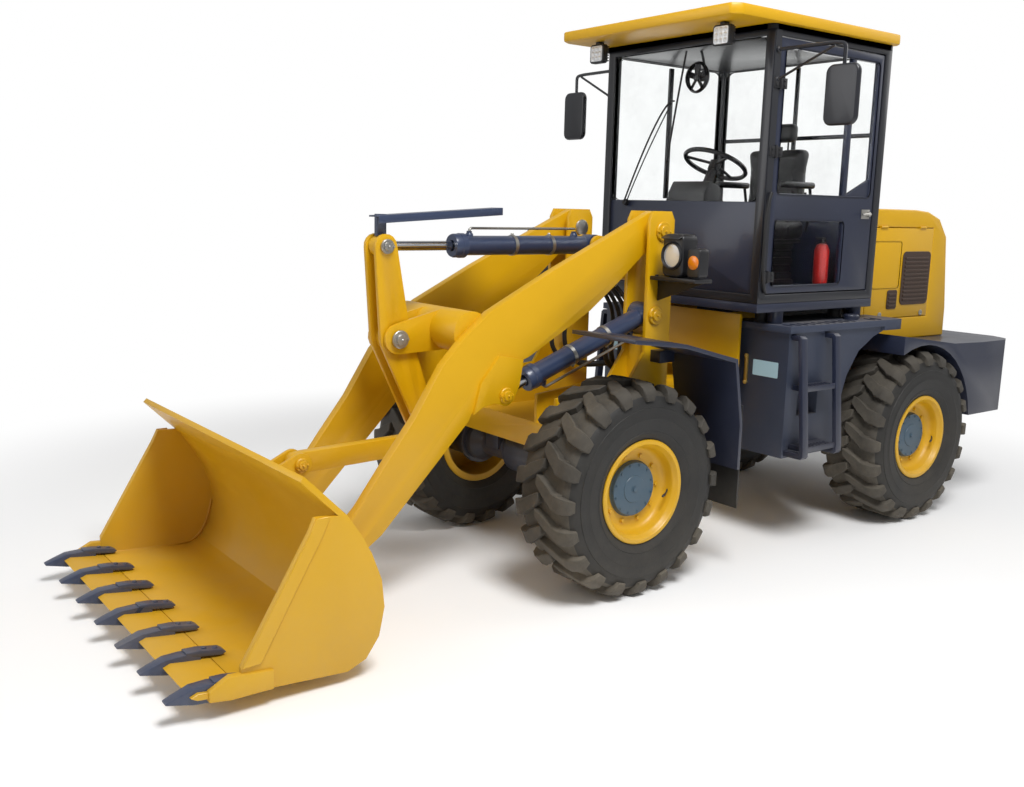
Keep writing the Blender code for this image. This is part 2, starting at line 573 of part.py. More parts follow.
# ---------------------------------------------------------------- cab
FLOOR_Z0 = 1.36
floor = [box(-CAB_HALF, CAB_HALF, CAB_FRONT, CAB_REAR, FLOOR_Z0, CAB_FLOOR_Z)]
for side in (1, -1):
    for y in (1.26, 2.00):
        floor.append(rod((side * 0.60, y, TANK_Z[1] + GAP), (side * 0.60, y, 1.38), 0.045, 16))
node("cab_floor", "navy", floor)
X0 = CAB_HALF - PILLAR
FRAME_Z0 = CAB_FLOOR_Z + GAP
RING = 0.055
frame = []
for side in (1, -1):
    for y0 in (CAB_FRONT, CAB_REAR - PILLAR):
        frame.append(box(*both(X0, CAB_HALF, side), y0, y0 + PILLAR, FRAME_Z0, CAB_TOP_Z))
    for z0, z1 in ((FRAME_Z0, FRAME_Z0 + 0.05), (CAB_TOP_Z - RING, CAB_TOP_Z)):
        frame.append(box(*both(X0 + 0.01, CAB_HALF, side), CAB_FRONT + 0.01, CAB_REAR - 0.01,
                         z0, z1))
for y0 in (CAB_FRONT, CAB_REAR - PILLAR + 0.01):
    for z0, z1 in ((FRAME_Z0, FRAME_Z0 + 0.05), (CAB_TOP_Z - RING, CAB_TOP_Z)):
        frame.append(box(-CAB_HALF + 0.01, CAB_HALF - 0.01, y0, y0 + PILLAR - 0.01, z0, z1))
node("cab_frame", "navy", frame)
SILL_Z = 1.97
LOW_Z = FRAME_Z0 + 0.05 + GAP
TOP_Z = CAB_TOP_Z - RING - GAP
INX = X0 - GAP
INY0 = CAB_FRONT + PILLAR + GAP
INY1 = CAB_REAR - PILLAR - GAP
node("cab_front_panel", "navy", [box(-INX, INX, 1.045, 1.065, LOW_Z, SILL_Z)])
node("cab_rear_panel", "navy", [box(-INX, INX, 2.06, 2.08, LOW_Z, SILL_Z)])
node("cab_right_panel", "navy", [box(-0.640, -0.620, INY0, INY1, LOW_Z, SILL_Z)])
node("windscreen", "glass", [box(-INX, INX, 1.051, 1.059, SILL_Z + GAP, TOP_Z)])
node("rear_window", "glass", [box(-INX, INX, 2.066, 2.074, SILL_Z + GAP, TOP_Z)])
node("right_window", "glass", [box(-0.634, -0.626, INY0, INY1, SILL_Z + GAP, TOP_Z)])
ROOF = [(-0.70, 0.72), (-0.66, 0.66), (0.66, 0.66), (0.70, 0.72), (0.70, 2.10), (0.67, 2.13),
        (-0.67, 2.13), (-0.70, 2.10)]
node("cab_roof", "yellow", [plan_plate(ROOF, CAB_TOP_Z + GAP, ROOF_TOP_Z)])

# Door: a frame with an upper and a lower window, hung on the front pillar
DOOR_PIVOT = (CAB_HALF + 0.007, CAB_FRONT + PILLAR, 2.10)
DOOR_X = (0.615, 0.650)
DOOR_Y = (CAB_FRONT + PILLAR + 0.006, CAB_REAR - PILLAR - 0.006)
DOOR_Z = (FRAME_Z0 + 0.05 + 0.006, CAB_TOP_Z - RING - 0.006)
UPPER = (1.14, 1.99, 2.02, 2.79)
LOWER = (1.14, 1.76, 1.51, 1.87)
door = box(*DOOR_X, *DOOR_Y, *DOOR_Z)
holes = [box(0.60, 0.66, *UPPER), box(0.60, 0.66, *LOWER)]
node("cab_door", "navy", [door], holes, pivot=DOOR_PIVOT)
for label, pane in (("upper", UPPER), ("lower", LOWER)):
    node(f"door_glass_{label}", "glass",
         [box(0.629, 0.636, pane[0] + GAP, pane[1] - GAP, pane[2] + GAP, pane[3] - GAP)],
         pivot=DOOR_PIVOT)

# Seat, control column with its wheel
FZ = CAB_FLOOR_Z + GAP
seat = [box(-0.20, 0.20, 1.60, 1.92, FZ, 1.74), box(-0.25, 0.25, 1.50, 1.98, 1.73, 1.88, 0.03),
        front_plate([(-0.23, 1.85), (0.23, 1.85), (0.20, 2.48), (-0.20, 2.48)], 1.88, 1.99)]
node("seat", "black", seat)
column = [box(-0.14, 0.14, 1.10, 1.26, FZ, 1.95), rod((0, 1.20, 1.90), (0, 1.32, 2.16), 0.03)]
node("steering_column", "black", column)
STEER_TILT = math.radians(-25)
STEER_AT = Vector((0, 1.345, 2.195))
STEER_R = 0.19
STEER_GRIP = 0.014
STEER_STEPS = 40


def steering(bm):
    sections = []
    for i in range(STEER_STEPS):
        heading = 2 * math.pi * i / STEER_STEPS
        section = []
        for k in range(6):
            b = 2 * math.pi * k / 6
            r = STEER_R + STEER_GRIP * math.cos(b)
            section.append(bm.verts.new((r * math.cos(heading), r * math.sin(heading),
                                         STEER_GRIP * math.sin(b))))
        sections.append(section)
    for one, two in zip(sections, sections[1:] + sections[:1]):
        for k in range(6):
            m = (k + 1) % 6
            bm.faces.new((one[k], two[k], two[m], one[m]))
    turn = Matrix.Rotation(STEER_TILT, 3, "X")
    bmesh.ops.rotate(bm, verts=bm.verts, cent=(0, 0, 0), matrix=turn)
    bmesh.ops.translate(bm, verts=bm.verts, vec=STEER_AT)


wheel = [new_object("piece", steering)]
axis_dir = Vector((0, -math.sin(STEER_TILT), math.cos(STEER_TILT)))
SPOKE_R = STEER_R - 0.003
for angle in (94, 214, 334):
    a = math.radians(angle)
    spoke = Vector((SPOKE_R * math.cos(a), SPOKE_R * math.sin(a), 0))
    wheel.append(rod(STEER_AT, STEER_AT + Matrix.Rotation(STEER_TILT, 3, "X") @ spoke, 0.009, 7))
wheel.append(rod(STEER_AT - axis_dir * 0.042, STEER_AT + axis_dir * 0.015, 0.035))
node("steering_wheel", "black", wheel)

# Mirrors and work lamps
for label, side in (("left", 1), ("right", -1)):
    stay = [rod((side * (CAB_HALF + 0.006), 1.06, 2.76), (side * 1.05, 1.10, 2.79), 0.011, 10),
            rod((side * 1.05, 1.10, 2.795), (side * 1.05, 1.10, 2.60), 0.011, 10),
            box(*both(CAB_HALF + GAP, CAB_HALF + 0.012, side), 1.035, 1.085, 2.72, 2.80),
            box(*both(0.945, 1.155, side), 1.085, 1.125, 2.36, 2.67, 0.012)]
    node(f"mirror_{label}", "black", stay)
    lamp = [box(*both(0.44, 0.55, side), 0.77, 0.84, 2.78, 2.885, 0.008),
            box(*both(0.48, 0.51, side), 0.78, 0.83, 2.87, CAB_TOP_Z)]
    node(f"work_lamp_{label}", "black", lamp)
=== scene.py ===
"""Looks of a compact articulated wheel loader: paint, tyres, cab, hydraulics and light."""

import json
import math
import random

import bmesh
import bpy
from mathutils import Matrix, Vector


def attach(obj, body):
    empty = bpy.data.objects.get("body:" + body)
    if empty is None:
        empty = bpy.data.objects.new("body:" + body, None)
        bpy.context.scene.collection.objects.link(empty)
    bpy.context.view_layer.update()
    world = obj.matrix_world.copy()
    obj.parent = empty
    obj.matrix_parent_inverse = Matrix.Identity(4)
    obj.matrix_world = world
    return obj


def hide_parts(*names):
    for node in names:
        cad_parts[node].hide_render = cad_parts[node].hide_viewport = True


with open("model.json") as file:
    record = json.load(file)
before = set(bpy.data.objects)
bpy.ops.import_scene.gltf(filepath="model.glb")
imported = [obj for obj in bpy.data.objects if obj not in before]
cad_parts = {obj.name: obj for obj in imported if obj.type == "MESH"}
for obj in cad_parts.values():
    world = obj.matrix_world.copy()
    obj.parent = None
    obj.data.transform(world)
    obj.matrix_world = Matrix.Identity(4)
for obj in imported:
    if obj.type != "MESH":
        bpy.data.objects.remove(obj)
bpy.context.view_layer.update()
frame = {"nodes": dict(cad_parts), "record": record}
NODES = frame["nodes"]
OFFSET_Y = -0.5675      # from the machine's axes, counted from the front axle, to the frame's
X_AXIS, Y_AXIS, Z_AXIS = Vector((1, 0, 0)), Vector((0, 1, 0)), Vector((0, 0, 1))
SIDES = (("left", 1), ("right", -1))
BODY_OF = {}
for body, members in frame["record"]["behaviour"]["bodies"].items():
    for member in members:
        BODY_OF[member] = body


# ---------------------------------------------------------------- shader groups
def new_group(name, inputs, outputs):
    """An empty shader group; inputs are (name, kind, default), outputs (name, kind)."""
    group = bpy.data.node_groups.new(name, "ShaderNodeTree")
    for label, kind, default in inputs:
        made = group.interface.new_socket(label, in_out="INPUT", socket_type=kind)
        made.default_value = default
    for label, kind in outputs:
        group.interface.new_socket(label, in_out="OUTPUT", socket_type=kind)
    return group, group.nodes.new("NodeGroupInput"), group.nodes.new("NodeGroupOutput")


def wire(tree, pairs):
    for source, target in pairs:
        tree.links.new(source, target)


def maths(tree, operation, a, b=None, c=None, clamp=False):
    made = tree.nodes.new("ShaderNodeMath")
    made.operation = operation
    made.use_clamp = clamp
    for socket, value in zip(made.inputs, (a, b, c)):
        if isinstance(value, bpy.types.NodeSocket):
            tree.links.new(value, socket)
        elif value is not None:
            socket.default_value = value
    return made.outputs[0]


def noise(tree, vector, scale, detail=4.0, rough=0.6):
    made = tree.nodes.new("ShaderNodeTexNoise")
    made.inputs["Detail"].default_value = detail
    made.inputs["Roughness"].default_value = rough
    if isinstance(scale, bpy.types.NodeSocket):
        tree.links.new(scale, made.inputs["Scale"])
    else:
        made.inputs["Scale"].default_value = scale
    tree.links.new(vector, made.inputs["Vector"])
    return made.outputs["Fac"]


def ramp(tree, value, low, high):
    """Value stretched so that low gives 0 and high gives 1, clamped."""
    made = tree.nodes.new("ShaderNodeMapRange")
    for name, given in (("From Min", low), ("From Max", high)):
        if isinstance(given, bpy.types.NodeSocket):
            tree.links.new(given, made.inputs[name])
        else:
            made.inputs[name].default_value = given
    tree.links.new(value, made.inputs["Value"])
    return made.outputs["Result"]


def mix_colour(tree, factor, a, b):
    made = tree.nodes.new("ShaderNodeMix")
    made.data_type = "RGBA"
    for label, value in (("Factor", factor), (6, a), (7, b)):
        socket = made.inputs[label]
        if isinstance(value, bpy.types.NodeSocket):
            tree.links.new(value, socket)
        else:
            socket.default_value = value
    return made.outputs[2]


def build_dust():
    """Dust that lies on what faces up, gathers near the ground and dulls the gloss."""
    group, enter, leave = new_group(
        "DustFilm",
        [("Colour", "NodeSocketColor", (0.5, 0.5, 0.5, 1)),
         ("Dust Colour", "NodeSocketColor", (0.30, 0.26, 0.20, 1)),
         ("Top Dust", "NodeSocketFloat", 0.25), ("Low Dust", "NodeSocketFloat", 0.5),
         ("Low Height", "NodeSocketFloat", 1.0), ("Roughness", "NodeSocketFloat", 0.35),
         ("Mottle", "NodeSocketFloat", 0.08)],
        [("Colour", "NodeSocketColor"), ("Roughness", "NodeSocketFloat"),
         ("Mask", "NodeSocketFloat")])
    place = group.nodes.new("ShaderNodeTexCoord")
    split = group.nodes.new("ShaderNodeSeparateXYZ")
    normal = group.nodes.new("ShaderNodeSeparateXYZ")
    wire(group, [(place.outputs["Object"], split.inputs[0]),
                 (place.outputs["Normal"], normal.inputs[0])])
    coarse = noise(group, place.outputs["Object"], 2.6, 5.0, 0.65)
    fine = noise(group, place.outputs["Object"], 46.0, 4.0, 0.7)
    up = ramp(group, normal.outputs["Z"], 0.35, 0.95)
    patches = ramp(group, coarse, 0.34, 0.70)
    top = maths(group, "MULTIPLY", maths(group, "MULTIPLY", up, patches),
                enter.outputs["Top Dust"])
    height = ramp(group, split.outputs["Z"], enter.outputs["Low Height"], 0.0)
    low = maths(group, "MULTIPLY", maths(group, "MULTIPLY", height, enter.outputs["Low Dust"]),
                maths(group, "ADD", patches, 0.25))
    grain = maths(group, "MULTIPLY_ADD", fine, 0.8, 0.55)
    mask = maths(group, "MULTIPLY", maths(group, "ADD", top, low), grain, clamp=True)
    shift = maths(group, "MULTIPLY", maths(group, "SUBTRACT", coarse, 0.5),
                  enter.outputs["Mottle"])
    value = group.nodes.new("ShaderNodeHueSaturation")
    group.links.new(maths(group, "MULTIPLY_ADD", shift, 2.0, 1.0), value.inputs["Value"])
    group.links.new(enter.outputs["Colour"], value.inputs["Color"])
    colour = mix_colour(group, mask, value.outputs["Color"], enter.outputs["Dust Colour"])
    smear = maths(group, "MULTIPLY", maths(group, "SUBTRACT", coarse, 0.45), 0.18)
    rough = maths(group, "ADD", maths(group, "ADD", enter.outputs["Roughness"], smear),
                  maths(group, "MULTIPLY", mask, 0.45), clamp=True)
    wire(group, [(colour, leave.inputs["Colour"]), (rough, leave.inputs["Roughness"]),
                 (mask, leave.inputs["Mask"])])
    return group


def build_chips():
    """Small scratches and chips where the metal below shows, most along raised edges."""
    group, enter, leave = new_group(
        "PaintChips",
        [("Colour", "NodeSocketColor", (0.5, 0.5, 0.5, 1)),
         ("Bare Colour", "NodeSocketColor", (0.10, 0.085, 0.075, 1)),
         ("Amount", "NodeSocketFloat", 0.2), ("Scale", "NodeSocketFloat", 42.0)],
        [("Colour", "NodeSocketColor"), ("Mask", "NodeSocketFloat")])
    place = group.nodes.new("ShaderNodeTexCoord")
    spots = noise(group, place.outputs["Object"], enter.outputs["Scale"], 6.0, 0.72)
    fields = noise(group, place.outputs["Object"], 3.1, 3.0, 0.5)
    edge = group.nodes.new("ShaderNodeNewGeometry")
    worn = ramp(group, edge.outputs["Pointiness"], 0.53, 0.62)
    threshold = maths(group, "SUBTRACT", 0.86,
                      maths(group, "MULTIPLY", enter.outputs["Amount"], fields))
    raised = maths(group, "MULTIPLY_ADD", worn, 0.13, spots)
    mask = ramp(group, raised, threshold, maths(group, "ADD", threshold, 0.025))
    colour = mix_colour(group, mask, enter.outputs["Colour"], enter.outputs["Bare Colour"])
    wire(group, [(colour, leave.inputs["Colour"]), (mask, leave.inputs["Mask"])])
    return group


def build_peel():
    """Orange-peel waviness of thick paint, or grain when the scale is high."""
    group, enter, leave = new_group(
        "SurfaceGrain", [("Scale", "NodeSocketFloat", 60.0), ("Broad", "NodeSocketFloat", 0.5)],
        [("Height", "NodeSocketFloat")])
    place = group.nodes.new("ShaderNodeTexCoord")
    small = noise(group, place.outputs["Object"], enter.outputs["Scale"], 3.0, 0.55)
    wide = noise(group, place.outputs["Object"], 7.0, 2.0, 0.5)
    height = maths(group, "MULTIPLY_ADD", wide, enter.outputs["Broad"], small)
    wire(group, [(height, leave.inputs["Height"])])
    return group


DUST = build_dust()
CHIPS = build_chips()
GRAIN = build_peel()


def finish_material(name, colour, rough=0.4, metal=0.0, coat=0.0, dust=(0.2, 0.4), mottle=0.06,
                    chips=0.0, bump=0.05, bump_scale=60.0, low_height=1.0, broad=0.5,
                    glow=None):
    """A painted, plastic or metal finish with its dust, chips and fine surface relief."""
    made = bpy.data.materials.new(name)
    made.use_nodes = True
    tree = made.node_tree
    shader = tree.nodes["Principled BSDF"]
    film = tree.nodes.new("ShaderNodeGroup")
    film.node_tree = DUST
    film.inputs["Colour"].default_value = (*colour, 1)
    film.inputs["Top Dust"].default_value = dust[0]
    film.inputs["Low Dust"].default_value = dust[1]
    film.inputs["Roughness"].default_value = rough
    film.inputs["Mottle"].default_value = mottle
    film.inputs["Low Height"].default_value = low_height
    if chips:
        worn = tree.nodes.new("ShaderNodeGroup")
        worn.node_tree = CHIPS
        worn.inputs["Colour"].default_value = (*colour, 1)
        worn.inputs["Amount"].default_value = chips
        tree.links.new(worn.outputs["Colour"], film.inputs["Colour"])
    wire(tree, [(film.outputs["Colour"], shader.inputs["Base Color"]),
                (film.outputs["Roughness"], shader.inputs["Roughness"])])
    shader.inputs["Metallic"].default_value = metal
    shader.inputs["Coat Weight"].default_value = coat
    shader.inputs["Coat Roughness"].default_value = 0.10
    if glow:
        shader.inputs["Emission Color"].default_value = (*glow[0], 1)
        shader.inputs["Emission Strength"].default_value = glow[1]
    relief = tree.nodes.new("ShaderNodeBump")
    relief.inputs["Strength"].default_value = bump
    relief.inputs["Distance"].default_value = 0.003
    grain = tree.nodes.new("ShaderNodeGroup")
    grain.node_tree = GRAIN
    grain.inputs["Scale"].default_value = bump_scale
    grain.inputs["Broad"].default_value = broad
    wire(tree, [(grain.outputs["Height"], relief.inputs["Height"]),
                (relief.outputs["Normal"], shader.inputs["Normal"])])
    made.diffuse_color = (*colour, 1)
    return made


def glass_material(name, tint, rough=0.01, ior=1.05):
    """A thin clear pane with a faint film of dust."""
    made = bpy.data.materials.new(name)
    made.use_nodes = True
    tree = made.node_tree
    shader = tree.nodes["Principled BSDF"]
    place = tree.nodes.new("ShaderNodeTexCoord")
    film = noise(tree, place.outputs["Object"], 3.0, 5.0, 0.7)
    spread = ramp(tree, film, 0.45, 0.85)
    shade = mix_colour(tree, spread, (*tint, 1), (*[t * 0.9 for t in tint], 1))
    tree.links.new(shade, shader.inputs["Base Color"])
    tree.links.new(maths(tree, "MULTIPLY_ADD", spread, 0.04, rough), shader.inputs["Roughness"])
    shader.inputs["Transmission Weight"].default_value = 1.0
    shader.inputs["IOR"].default_value = ior
    made.diffuse_color = (*tint, 0.4)
    return made


YELLOW = finish_material("loader_yellow", (0.68, 0.375, 0.001), 0.38, coat=0.04,
                         dust=(0.05, 0.16), chips=0.10, bump=0.05)
NAVY = finish_material("loader_navy", (0.017, 0.022, 0.045), 0.36, coat=0.2,
                       dust=(0.10, 0.20), chips=0.06, bump=0.07)
STEEL_BLUE = finish_material("cylinder_blue", (0.030, 0.046, 0.098), 0.34, coat=0.25,
                             dust=(0.10, 0.20), chips=0.10)
TEAL = finish_material("hub_teal", (0.035, 0.085, 0.135), 0.38, dust=(0.2, 0.25), chips=0.10)
BLACK = finish_material("black_plastic", (0.011, 0.011, 0.013), 0.38, dust=(0.06, 0.2),
                        bump=0.12, bump_scale=300.0)
POST_BLACK = finish_material("post_black", (0.011, 0.012, 0.017), 0.34, coat=0.2,
                             dust=(0.05, 0.1), bump=0.06)
TYRE = finish_material("tyre_rubber", (0.009, 0.009, 0.009), 0.60, dust=(0.03, 0.12),
                       bump=0.25, bump_scale=120.0, mottle=0.25, low_height=1.2)
TREAD = finish_material("tread_rubber", (0.026, 0.023, 0.019), 0.72, dust=(0.16, 0.40),
                        bump=0.40, bump_scale=90.0, mottle=0.35, low_height=1.4)
SEAL = finish_material("rubber_seal", (0.010, 0.010, 0.011), 0.55, dust=(0.2, 0.2), bump=0.1,
                       bump_scale=200.0)
STEEL = finish_material("bright_rod", (0.62, 0.63, 0.65), 0.14, metal=1.0, dust=(0.06, 0.06),
                        bump=0.02, bump_scale=400.0)
ZINC = finish_material("zinc_plate", (0.42, 0.41, 0.38), 0.34, metal=0.9, dust=(0.2, 0.3),
                       bump=0.08, bump_scale=220.0)
BRASS = finish_material("brass_fitting", (0.55, 0.42, 0.16), 0.32, metal=0.9, dust=(0.2, 0.2),
                        bump=0.08, bump_scale=220.0)
GREY = finish_material("engine_grey", (0.10, 0.105, 0.11), 0.55, dust=(0.4, 0.4), bump=0.2)
VINYL = finish_material("seat_vinyl", (0.016, 0.016, 0.018), 0.40, dust=(0.06, 0.1), bump=0.30,
                        bump_scale=420.0, broad=0.2)
HOSE = finish_material("hose_rubber", (0.013, 0.013, 0.014), 0.48, dust=(0.3, 0.3), bump=0.3,
                       bump_scale=260.0)
MIRROR = finish_material("mirror_glass", (0.80, 0.82, 0.84), 0.03, metal=1.0, dust=(0.02, 0.02),
                         bump=0.01)
LAMP = finish_material("lamp_reflector", (0.80, 0.82, 0.85), 0.14, metal=0.35, dust=(0.02, 0.02),
                       bump=0.30, bump_scale=110.0)
AMBER = finish_material("amber_lens", (0.75, 0.20, 0.004), 0.12, coat=0.8, dust=(0.05, 0.05),
                        bump=0.35, bump_scale=95.0, broad=0.0)
RED = finish_material("red_paint", (0.42, 0.012, 0.010), 0.28, coat=0.4, dust=(0.1, 0.1))
LABEL = finish_material("blank_label", (0.42, 0.62, 0.70), 0.40, dust=(0.1, 0.15), bump=0.03)
DECK = finish_material("deck_navy", (0.036, 0.046, 0.078), 0.50, dust=(0.30, 0.25), chips=0.12,
                       bump=0.12)
SMOKED = finish_material("vent_brown", (0.050, 0.026, 0.016), 0.45, dust=(0.2, 0.3), bump=0.15)
LENS = glass_material("clear_lens", (0.95, 0.97, 0.98), 0.02, 1.3)
GLASS = glass_material("cab_glass_pane", (0.985, 0.995, 0.993))

LOOK = {"yellow_paint": YELLOW, "navy_paint": NAVY, "blue_paint": STEEL_BLUE,
        "black_plastic": BLACK, "cab_glass": GLASS, "bright_steel": STEEL,
        "engine_grey": GREY, "tyre_rubber": TYRE}
SLOT_OF = {}
for entry in frame["record"]["subparts"]:
    SLOT_OF[entry["node"]] = entry["material_slot"]
    shown = NODES[entry["node"]]
    shown.data.materials.clear()
    shown.data.materials.append(LOOK[entry["material_slot"]])


# ---------------------------------------------------------------- making pieces
def finish_piece(bm, name, body, look, smooth=35.0):
    """The bmesh, drawn in the machine's axes, as a piece that rides on its body."""
    bmesh.ops.translate(bm, verts=bm.verts, vec=(0, OFFSET_Y, 0))
    return frame_piece(bm, name, body, look, smooth)


def frame_piece(bm, name, body, look, smooth=35.0):
    """The same for a bmesh that is already in the frame's axes."""
    mesh = bpy.data.meshes.new(name)
    limit = math.radians(smooth)
    for face in bm.faces:
        face.smooth = True
    for edge in bm.edges:
        edge.smooth = len(edge.link_faces) == 2 and edge.calc_face_angle(0.0) < limit
    bm.to_mesh(mesh)
    bm.free()
    looks = look if isinstance(look, (list, tuple)) else [look]
    for each in looks:
        mesh.materials.append(each)
    piece = bpy.data.objects.new(name, mesh)
    bpy.context.scene.collection.objects.link(piece)
    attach(piece, body)
    return piece


def plate(points, thickness, place, bevel=0.0, segments=2):
    """A flat outline extruded; place(u, v, w) turns outline and depth into a point."""
    bm = bmesh.new()
    corners = [bm.verts.new(place(u, v, 0.0)) for u, v in points]
    face = bm.faces.new(corners)
    made = bmesh.ops.extrude_face_region(bm, geom=[face])
    shift = Vector(place(0, 0, thickness)) - Vector(place(0, 0, 0))
    bmesh.ops.translate(bm, verts=[v for v in made["geom"] if isinstance(v, bmesh.types.BMVert)],
                        vec=shift)
    bmesh.ops.recalc_face_normals(bm, faces=bm.faces)
    if bevel:
        soften(bm, bevel, segments)
    return bm


def side_place(x0):
    return lambda y, z, w: (x0 + w, y, z)


def front_place(y0):
    return lambda x, z, w: (x, y0 + w, z)


def plan_place(z0):
    return lambda x, y, w: (x, y, z0 + w)


def soften(bm, width, segments=2, angle=30.0):
    """Bevels the edges that are sharper than the angle."""
    edges = [e for e in bm.edges if len(e.link_faces) == 2
             and e.calc_face_angle(0.0) > math.radians(angle)]
    if edges:
        bmesh.ops.bevel(bm, geom=edges, offset=width, segments=segments, profile=0.5,
                        affect="EDGES", material=-1, clamp_overlap=True)


def block(x0, x1, y0, y1, z0, z1, bevel=0.004, segments=2):
    """A block with softened edges."""
    bm = bmesh.new()
    size = Vector((abs(x1 - x0), abs(y1 - y0), abs(z1 - z0)))
    middle = Vector(((x0 + x1) / 2, (y0 + y1) / 2, (z0 + z1) / 2))
    bmesh.ops.create_cube(bm, size=1.0,
                          matrix=Matrix.Translation(middle) @ Matrix.Diagonal((*size, 1)))
    if bevel:
        bmesh.ops.bevel(bm, geom=bm.edges[:], offset=bevel, segments=segments, profile=0.5,
                        affect="EDGES", material=-1, clamp_overlap=True)
    return bm


def turn_to(direction):
    return Vector(direction).to_track_quat("Z", "Y").to_matrix().to_4x4()


def lathe(profile, centre, direction, steps=32):
    """A profile of (radius, along) spun about an axis through centre."""
    bm = bmesh.new()
    verts = [bm.verts.new((radius, 0, along)) for radius, along in profile]
    edges = [bm.edges.new(pair) for pair in zip(verts, verts[1:])]
    bmesh.ops.spin(bm, geom=verts + edges, cent=(0, 0, 0), axis=(0, 0, 1),
                   angle=2 * math.pi, steps=steps, use_merge=True)
    bmesh.ops.remove_doubles(bm, verts=bm.verts, dist=1e-5)
    bmesh.ops.recalc_face_normals(bm, faces=bm.faces)
    bm.transform(Matrix.Translation(centre) @ turn_to(direction))
    return bm


def merge(target, *others):
    """Adds each bmesh to the first one and frees it."""
    for other in others:
        scratch = bpy.data.meshes.new("scratch")
        other.to_mesh(scratch)
        other.free()
        target.from_mesh(scratch)
        bpy.data.meshes.remove(scratch)
    return target


def paint(bm, index):
    for face in bm.faces:
        face.material_index = index
    return bm


def bolt(centre, direction, radius=0.013, height=0.010):
    """A hexagon head with its washer."""
    profile_washer = [(0.0, 0.0), (radius * 1.45, 0.0), (radius * 1.45, height * 0.22),
                      (0.0, height * 0.22)]
    head = [(0.0, height * 0.2), (radius, height * 0.2), (radius, height * 0.85),
            (radius * 0.82, height), (0.0, height)]
    bm = lathe(profile_washer, centre, direction, 14)
    return merge(bm, lathe(head, centre, direction, 6))


def bolts(places, direction, radius=0.013, height=0.010):
    bm = bmesh.new()
    for place in places:
        merge(bm, bolt(place, direction, radius, height))
    return bm


def tube(points, radius, sides=10, bend=None):
    """A round tube along the points; bend rounds each corner within that distance."""
    route = [Vector(p) for p in points]
    if bend:
        rounded = [route[0]]
        for before, corner, after in zip(route, route[1:], route[2:]):
            rounded.append(corner + (before - corner).normalized() * bend)
            rounded.append(corner)
            rounded.append(corner + (after - corner).normalized() * bend)
        route = rounded + [route[-1]]
    curve = bpy.data.curves.new("route", "CURVE")
    curve.dimensions = "3D"
    curve.bevel_depth = radius
    curve.bevel_resolution = max(sides // 4 - 1, 1)
    curve.use_fill_caps = True
    spline = curve.splines.new("NURBS")
    spline.points.add(len(route) - 1)
    for point, place in zip(spline.points, route):
        point.co = (*place, 1.0)
    spline.order_u = 3
    spline.use_endpoint_u = True
    spline.resolution_u = 5
    holder = bpy.data.objects.new("route", curve)
    mesh = bpy.data.meshes.new_from_object(holder)
    bm = bmesh.new()
    bm.from_mesh(mesh)
    bmesh.ops.remove_doubles(bm, verts=bm.verts, dist=1e-5)
    bmesh.ops.recalc_face_normals(bm, faces=bm.faces)
    bpy.data.objects.remove(holder)
    bpy.data.curves.remove(curve)
    bpy.data.meshes.remove(mesh)
    return bm


def cleaned(node):
    """A merged copy of a CAD node's mesh with its flat faces rejoined."""
    bm = bmesh.new()
    bm.from_mesh(NODES[node].data)
    bmesh.ops.remove_doubles(bm, verts=bm.verts, dist=2e-5)
    bmesh.ops.dissolve_limit(bm, angle_limit=math.radians(0.6), verts=bm.verts, edges=bm.edges)
    return bm


def softened(node, width=0.004, segments=2, look=None, name=None):
    """The CAD node's own shape with its sharp edges rounded; it stands for the node."""
    bm = cleaned(node)
    soften(bm, width, segments)
    piece = frame_piece(bm, name or node + "_finish", BODY_OF[node],
                        look or LOOK[SLOT_OF[node]])
    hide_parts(node)
    return piece


# ---------------------------------------------------------------- wheels
TRACK_HALF = 0.70
AXLE_Z = 0.54
WHEELBASE = 2.42
TYRE_R = 0.54
WHEELS = (("front_left", 0.0, 1), ("front_right", 0.0, -1),
          ("rear_left", WHEELBASE, 1), ("rear_right", WHEELBASE, -1))
# The tyre's outline from the middle of the tread outwards, as (across, radius)
CROWN = ((0.0, 0.5398), (0.150, 0.5395), (0.186, 0.523), (0.202, 0.490), (0.2075, 0.440))
CARCASS = ((0.0, 0.506), (0.120, 0.504), (0.156, 0.499), (0.178, 0.482), (0.192, 0.455),
           (0.2005, 0.430), (0.2045, 0.428), (0.2065, 0.405), (0.2035, 0.375), (0.2055, 0.372),
           (0.2010, 0.340), (0.1930, 0.310), (0.1960, 0.305), (0.1870, 0.286), (0.1740, 0.272),
           (0.1690, 0.262), (0.1685, 0.2372))
LUGS = 20
# Stations of one lug: distance along the crown, shift round the tyre, half width
LUG = ((0.256, -0.004, 0.034), (0.228, -0.002, 0.043), (0.196, 0.002, 0.047),
       (0.150, 0.010, 0.048), (0.108, 0.018, 0.047), (0.092, 0.034, 0.046),
       (0.045, 0.062, 0.043), (0.004, 0.088, 0.036), (-0.016, 0.100, 0.026))
LUG_DEPTH = 0.046


def on_crown(distance, depth):
    """The point (across, radius) this far along the tyre's outline and this far inside it."""
    sign = 1 if distance >= 0 else -1
    left = abs(distance)
    for (a0, r0), (a1, r1) in zip(CROWN, CROWN[1:]):
        size = math.hypot(a1 - a0, r1 - r0)
        if left <= size or (a1, r1) == CROWN[-1]:
            t = left / size
            across, radius = a0 + (a1 - a0) * t, r0 + (r1 - r0) * t
            return (sign * (across + (r1 - r0) / size * depth),
                    radius - (a1 - a0) / size * depth)
        left -= size


